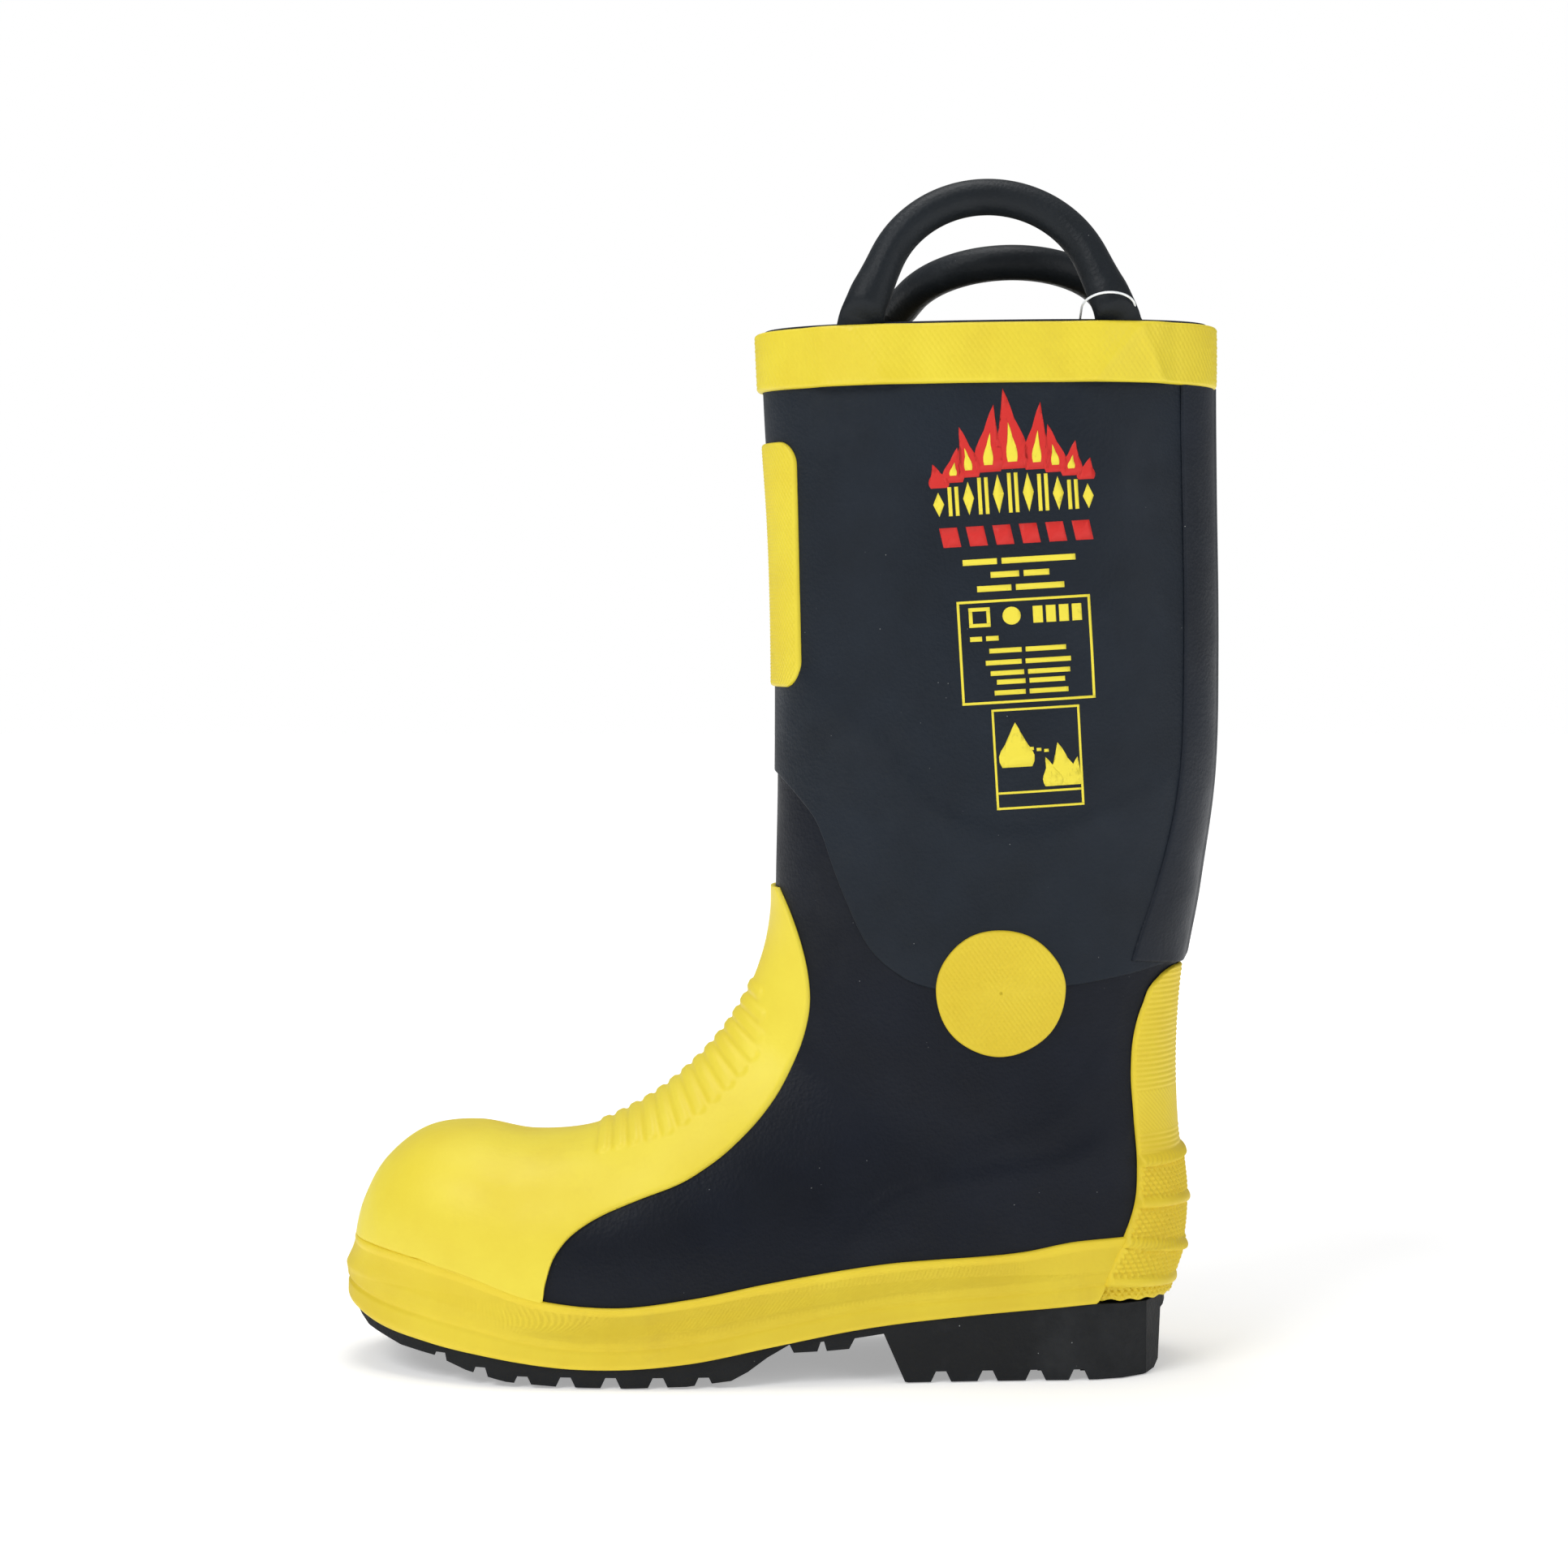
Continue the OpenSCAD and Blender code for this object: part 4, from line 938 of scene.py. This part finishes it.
def pocket(u):
    """Bulge of the band over the handle tongues."""
    lift = np.zeros_like(u)
    for _, side, _, shift in HANDLES:
        for x in (HANDLE_X[0] - 4 + shift, HANDLE_X[1] + 4 + shift):
            centre = cross(lambda a: x - pt(0.0, a)[..., 0], 0, 180)[0]
            gap = np.abs((u - side * centre + 180) % 360 - 180)
            lift = np.maximum(lift, POCKET * hump((gap - 7) / 12))
    return lift


def collar_band():
    """Dotted yellow band round the collar, bulging over the handle tongues."""
    v_low = cross(lambda v: pt(v, 90.0)[..., 2] - 359, 0, 5)[0]
    v = even_v(0, v_low, count(22, .42), ROUND)
    columns = count(292, .47)
    u, _ = even_u(v, 0.0, 360.0, columns, closed=True)
    p = pt(v[:, None], u)
    down = run_lengths(p, 0)
    around = run_lengths(p, 1)
    border = np.minimum(down, down[-1:] - down)
    period = around[:, -1:].mean() / round(around[:, -1:].mean() / 1.95)
    relief = .22 * dots(around, down, period, 3.0) * slope(border, .7, .5)
    slack = .35 * np.sin(np.radians(u * 5)) * np.sin(down / 9) + waviness(p, .15)
    crease = 0
    for centre, tilt in ((62, .5), (118, -.7), (128, .4), (243, .6), (300, -.5)):
        crease = crease + .55 * np.exp(-(((u - centre) - tilt * (down - 11)) / 2.2) ** 2)
    thick = 1.9 * rounded(border, 1.1) + relief
    out = LEATHER_OUT + .15 + pocket(u) + (slack + crease) * slope(border, 0, 2)
    outer, inner = pt(v[:, None], u, out + thick), pt(v[:, None], u, out - .05)
    drop = .5 * np.sin(np.radians(u * 2 + 40)) * down / 22
    outer[..., 2] -= drop
    inner[..., 2] -= drop
    add_piece("collar_band_moulding", shell(outer, inner, wrap=True), M["band"], "collar_band")


# ---- pull handles
HINGE_Y = 38.1
HINGE_Z = 389.5
TUBE = 6.5
ARCH = 40
SPLAY = math.radians(23.5)


def handle_path():
    """Centre line of a handle in its own plane: across, up; tongues below zero."""
    middle = sum(HANDLE_X) / 2
    half = (HANDLE_X[1] - HANDLE_X[0]) / 2
    leg = (half - ARCH * math.cos(SPLAY)) / math.sin(SPLAY)
    knee_up = leg * math.cos(SPLAY)
    path = []
    for d in np.linspace(27, 1.2, count(26, .9)):
        path.append((-half - d * math.tan(SPLAY) * math.exp(-d / 30), -d))
    for t in np.linspace(0, .95, count(16, 1.4)):
        path.append((-half + t * leg * math.sin(SPLAY), t * knee_up))
    centre_up = knee_up - ARCH * math.sin(SPLAY)
    for turn in np.linspace(math.pi - SPLAY, math.pi / 2, count(60, 1.3)):
        path.append((ARCH * math.cos(turn), centre_up + ARCH * math.sin(turn)))
    path += [(-x, z) for x, z in path[-2::-1]]
    return middle, np.array(path)


def pull_handle(which, side, lean_degrees, shift):
    """Moulded rubber handle: round arch, legs that flatten into tongues under the band."""
    middle, path = handle_path()
    smooth_path = path.copy()
    for _ in range(6):
        smooth_path[1:-1] = (smooth_path[:-2] + 2 * smooth_path[1:-1] + smooth_path[2:]) / 4
    tangent = np.gradient(smooth_path, axis=0)
    tangent /= np.linalg.norm(tangent, axis=1, keepdims=True)
    across = np.stack([tangent[:, 1], -tangent[:, 0]], 1)
    turn = np.linspace(0, 2 * np.pi, count(41, 1), endpoint=False)
    up = smooth_path[:, 1]
    flat = slope(-up, .5, 8)
    flat = flat * flat * (3 - 2 * flat)
    flare = np.exp(-(np.maximum(up, 0) / 9) ** 2)
    wide = TUBE + 1.0 * flare + .6 * flat
    deep = TUBE * (1 - .1 * flare) * (1 - flat) + .8 * flat
    # mould parting lines along both faces
    line = sum(np.exp(-((np.degrees(turn)[None] - at) / 3.5) ** 2) for at in (90, 270))
    seam = .22 * line * (up[:, None] > 4)
    power = np.interp(flat, (0, 1), (1, .6))[:, None]
    cos, sin = np.cos(turn)[None], np.sin(turn)[None]
    in_plane = signed_power(cos, power) * wide[:, None]
    thick = signed_power(sin, power) * (deep[:, None] + seam)
    x = smooth_path[:, :1] + across[:, :1] * in_plane
    z = up[:, None] + across[:, 1:] * in_plane
    # the arch leans about the hinge line, the tongues follow the leg wall
    lean = math.radians(lean_degrees) * slope(up, -3, 9)[:, None]
    y_plane = thick * np.cos(lean) - z * np.sin(lean) * (up[:, None] > -3)
    z_plane = np.where(up[:, None] > -3, z * np.cos(lean) + thick * np.sin(lean), z)
    level = np.minimum(HINGE_Z + up, 378)
    v_wall = cross(lambda v: pt(v, 90.0)[..., 2] - level, 0, 5, up)
    here = middle + shift + smooth_path[:, 0]
    u_wall = cross(lambda a: here - pt(v_wall, a)[..., 0], 0, 180, up)
    seat = np.abs(pt(v_wall, side * u_wall, LEATHER_OUT + 1.05)[:, 1])
    settle = slope(-up, 0, 9)
    y = (HINGE_Y * (1 - settle) + seat * settle)[:, None] + y_plane
    rings = np.stack([middle + shift + x, -side * y, HINGE_Z + z_plane], -1)
    verts = np.concatenate([rings.reshape(-1, 3), [rings[0].mean(0), rings[-1].mean(0)]])
    faces = grid_faces(len(path), len(turn), 0, True).tolist()
    span = np.arange(len(turn))
    nxt = (span + 1) % len(turn)
    last = (len(path) - 1) * len(turn)
    faces += np.stack([nxt, span, np.full(len(turn), len(verts) - 2)], -1).tolist()
    faces += np.stack([last + span, last + nxt, np.full(len(turn), len(verts) - 1)], -1).tolist()
    piece = add_piece("pull_handle_" + which, (verts, faces), M["handle"], body=None)
    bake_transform(piece)
    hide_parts("handle_" + which, "handle_anchor_" + which)


# ---- printed marks
PRINT_MIDDLE = (-5.0, 283.0)
PRINT_TILT = math.radians(3.5)


def tongue(x, low, high, width, bend):
    """Pointed flame tongue, bent sideways at its tip."""
    left, right = [], []
    for k in range(9):
        t = k / 8
        half = width / 2 * (1 - t) ** .75 * (1 + .5 * math.sin(math.pi * min(1, t * 1.6)))
        middle = x + bend * t * t
        left.append((middle - half, low + (high - low) * t))
        right.append((middle + half, low + (high - low) * t))
    return left + right[::-1][1:]


def bar(x, z, width, height):
    """Corners of an upright box."""
    return [(x, z), (x + width, z), (x + width, z + height), (x, z + height)]


def outline(x, z, width, height, line):
    """Frame of a box as four bars."""
    inside = height - 2 * line
    return [bar(x, z, width, line), bar(x, z + height - line, width, line),
            bar(x, z + line, line, inside), bar(x + width - line, z + line, line, inside)]


def round_mark(x, z, r):
    """Corners of a small disc."""
    turns = [2 * math.pi * k / 20 for k in range(20)]
    return [(x + r * math.cos(a), z + r * math.sin(a)) for a in turns]


def arch_height(x):
    """Top line of the title blocks, highest in the middle."""
    return 41 + 6 * math.cos((x + 1) / 28 * math.pi / 2)


def flame_marks():
    """Red tongues over the title blocks, with yellow cores."""
    red, yellow = [], []
    # across, height, width, bend
    places = [(-27, 9, 6, -2), (-22, 13, 6.5, 2), (-16.5, 19, 7, -2.5), (-9.5, 25, 8.5, 3),
              (-1, 30, 9.5, -2), (7.5, 25, 8, 2.5), (14, 18, 7, -2), (19.5, 13, 6.5, 2),
              (24.5, 8, 5.5, 2)]
    for x, tall, width, bend in places:
        low = arch_height(x) - 1
        red.append(tongue(x, low, low + tall * .95, width, bend))
        if tall > 12:
            yellow.append((x, low + 2.5, low + tall * .55, width * .34, bend * .4))
    return red, [tongue(*spot) for spot in yellow]


def title_blocks():
    """Row of plain uprights and diamonds under an arched top line."""
    blocks = []
    for k in range(11):
        x = -29.5 + k * 5.25
        top = arch_height(x + 2) - 2.4
        middle = (30.5 + top) / 2
        if k % 2:
            blocks.append(bar(x, 30.5, 1.3, top - 30.5))
            blocks.append(bar(x + 2.4, 30.5, 1.3, top - 30.5))
        else:
            blocks.append([(x + 1.9, 30.5), (x + 3.8, middle), (x + 1.9, top), (x, middle)])
    return blocks


def red_row():
    """Second row: plain red lozenges."""
    marks = []
    for k in range(6):
        x = -28 + k * 9.3
        marks.append([(x + 1.2, 19.4), (x + 7.4, 19.4), (x + 6.2, 26.4), (x, 26.4)])
    return marks


def line_marks():
    """Short yellow bars in rows, and two outlined boxes with plain symbols."""
    marks = []
    for z, runs in ((12.6, (-20.5, 12, 26)), (7.8, (-11, 10, 9)), (3, (-16, 12, 17))):
        x = runs[0]
        for width in runs[1:]:
            marks.append(bar(x, z, width, 2.1))
            x += width + 1.6
    marks += outline(-23.5, -37, 47, 37, .9)
    marks += outline(-19.5, -9.5, 7.5, 7, 1.3)
    marks.append(round_mark(-4.5, -6, 3.2))
    marks += [bar(3 + 4.6 * k, -9, 3.4, 6) for k in range(4)]
    rows = ((-14.5, -19.5, 10), (-19, -13, 27), (-23.2, -14.5, 30),
            (-27, -13, 28), (-30.2, -11, 24), (-34, -12, 26))
    for z, x, width in rows:
        marks.append(bar(x, z, width * .42, 1.7))
        marks.append(bar(x + width * .42 + 1.4, z, width * .58 - 1.4, 1.7))
    marks += outline(-13.5, -75, 31, 36, .8)
    marks.append(bar(-12.7, -69.5, 29.4, .8))
    marks.append(tongue(11, -67.5, -52, 9, -2))
    marks.append(tongue(7, -67.5, -57, 6, -2.5))
    marks.append(tongue(14.4, -67.5, -57.5, 5, 1.5))
    marks.append(tongue(-5.5, -60, -44, 10.5, 0))
    marks += [bar(-1 + 2.6 * k, -54.2 - .5 * k, 1.6, 1.1) for k in range(3)]
    return marks


def cut_fine(bm, places, normal):
    """Cut flat shapes along parallel planes, so that they can bend."""
    for k in places:
        parts = bm.verts[:] + bm.edges[:] + bm.faces[:]
        bmesh.ops.bisect_plane(bm, geom=parts, plane_co=Vector(normal) * k, plane_no=normal)


def from_lowest(ring):
    first = ring.index(min(ring))
    return ring[first:] + ring[:first]


def print_piece(name, shapes, material, lift):
    """Thin ink layer laid on the leg sheet: flat shapes, cut fine, then wrapped on."""
    bm = bmesh.new()
    for shape in shapes:
        bm.faces.new([bm.verts.new((x, 0, z)) for x, z in shape])
    bmesh.ops.triangulate(bm, faces=bm.faces[:])
    step = 2.2 if FINE == 1 else 6
    cut_fine(bm, np.arange(-40, 40, step), (1, 0, 0))
    cut_fine(bm, np.arange(-78, 76, step * 2), (0, 0, 1))
    grown = bmesh.ops.extrude_face_region(bm, geom=bm.faces[:])
    for item in grown["geom"]:
        if isinstance(item, bmesh.types.BMVert):
            item.co.y = 1
    bmesh.ops.recalc_face_normals(bm, faces=bm.faces[:])
    co = np.array([v.co for v in bm.verts])
    c, s = math.cos(PRINT_TILT), math.sin(PRINT_TILT)
    x = PRINT_MIDDLE[0] + co[:, 0] * c - co[:, 2] * s
    z = PRINT_MIDDLE[1] + co[:, 0] * s + co[:, 2] * c
    v, u = side_vu(x, z)
    base = pt(v, u)
    p = pt(v, u, LEATHER_OUT + leg_lift(base) + np.where(co[:, 1] > .5, lift, -.2))
    bm.verts.index_update()
    # the mesh tools list faces in no fixed order, so they are sorted
    faces = sorted(from_lowest([v.index for v in face.verts]) for face in bm.faces)
    bm.free()
    add_piece(name, (p, faces), material)


# ---- carried-over CAD pieces
def finish_cad():
    """Materials and softened edges for the CAD nodes that stay shown."""
    finishes = {
        "outsole": "sole", "heel_core": "cork", "midsole_filler": "cork", "steel_midsole": "steel",
        "insole_board": "board", "leg_insulation": "felt", "ankle_reinforcement": "ply",
        "heel_counter": "board", "steel_toecap": "steel", "toecap_edge_strip": "ply",
        "handle_core_lateral": "cord", "handle_core_medial": "cord", "tag_loop": "filament",
    }
    for node, key in finishes.items():
        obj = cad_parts[node]
        obj.data.materials.clear()
        obj.data.materials.append(M[key])
    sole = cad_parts["outsole"]
    bevel = sole.modifiers.new("soft_edges", "BEVEL")
    bevel.width = .0005
    bevel.segments = 2
    bevel.limit_method = "ANGLE"
    bevel.angle_limit = math.radians(35)


# ---- studio
CAMERA_SPOT = (-.090, -1.200, .2789)
CAMERA_AIM = (-.090, 0, .2143)
CAMERA_LENS = 74.4


def stand(obj, spot, aim):
    """Put a light or camera at a spot, turned towards a point."""
    obj.location = spot
    obj.rotation_euler = (Vector(aim) - Vector(spot)).to_track_quat("-Z", "Y").to_euler()


def area_light(name, spot, aim, size, watts):
    data = bpy.data.lights.new(name, "AREA")
    data.energy = watts
    data.size = size
    stand(add_object(name, data), spot, aim)


def floor_material():
    """White ground that fades into the white background away from the boot."""
    n = Nodes("pale_floor")
    length = n.add("ShaderNodeVectorMath", operation="LENGTH")
    n.link(n.place, length.inputs[0])
    n.shader.inputs["Base Color"].default_value = (.94, .94, .94, 1)
    n.shader.inputs["Roughness"].default_value = .9
    n.shader.inputs["Emission Color"].default_value = (1, 1, 1, 1)
    n.link(n.ramp(length.outputs["Value"], .35, 1.1, .35, .8), n.shader.inputs["Emission Strength"])
    return n.material


def studio():
    """White floor and background, three soft lights and the camera."""
    low, high = CAD_BOX
    middle = (low + high) / 2
    mesh = bpy.data.meshes.new("floor")
    size = 6.0
    corners = [(-size, -size, 0), (size, -size, 0), (size, size, 0), (-size, size, 0)]
    mesh.from_pydata(corners, [], [(0, 1, 2, 3)])
    mesh.materials.append(floor_material())
    floor = add_object("floor", mesh)
    floor.location = (middle.x, 0, low.z - .0004)
    aim = (middle.x, 0, middle.z)
    area_light("key", (middle.x - .95, -1.2, 1.45), aim, .9, 15)
    area_light("fill", (middle.x + 1.3, -1.0, .8), aim, 1.0, 4.5)
    area_light("top", (middle.x - .1, .1, 1.6), aim, .8, 9)
    world = bpy.data.worlds.new("studio")
    world.use_nodes = True
    nodes = world.node_tree.nodes
    background = nodes["Background"]
    path = nodes.new("ShaderNodeLightPath")
    strength = nodes.new("ShaderNodeMapRange")
    strength.inputs["To Min"].default_value = .33
    strength.inputs["To Max"].default_value = 1.0
    world.node_tree.links.new(path.outputs["Is Camera Ray"], strength.inputs["Value"])
    world.node_tree.links.new(strength.outputs["Result"], background.inputs["Strength"])
    background.inputs["Color"].default_value = (1, 1, 1, 1)
    bpy.context.scene.world = world
    bpy.context.scene.view_settings.view_transform = "Standard"
    data = bpy.data.cameras.new("camera")
    data.sensor_width = 36
    data.lens = CAMERA_LENS
    camera = add_object("camera", data)
    stand(camera, CAMERA_SPOT, CAMERA_AIM)
    bpy.context.scene.camera = camera


foot_rubber()
leg_rubber()
inner_rim()
lining_sock()
footbed_pad()
toe_cover()
foxing()
heel_guard()
back_strip()
shin_patch()
ankle_disc(1, "lateral")
ankle_disc(-1, "medial")
collar_band()
for handle in HANDLES:
    pull_handle(*handle)
red_flames, yellow_cores = flame_marks()
print_piece("print_red", red_flames + red_row(), M["ink_red"], .05)
print_piece("print_yellow", yellow_cores + title_blocks() + line_marks(), M["ink_yellow"], .1)
finish_cad()
studio()
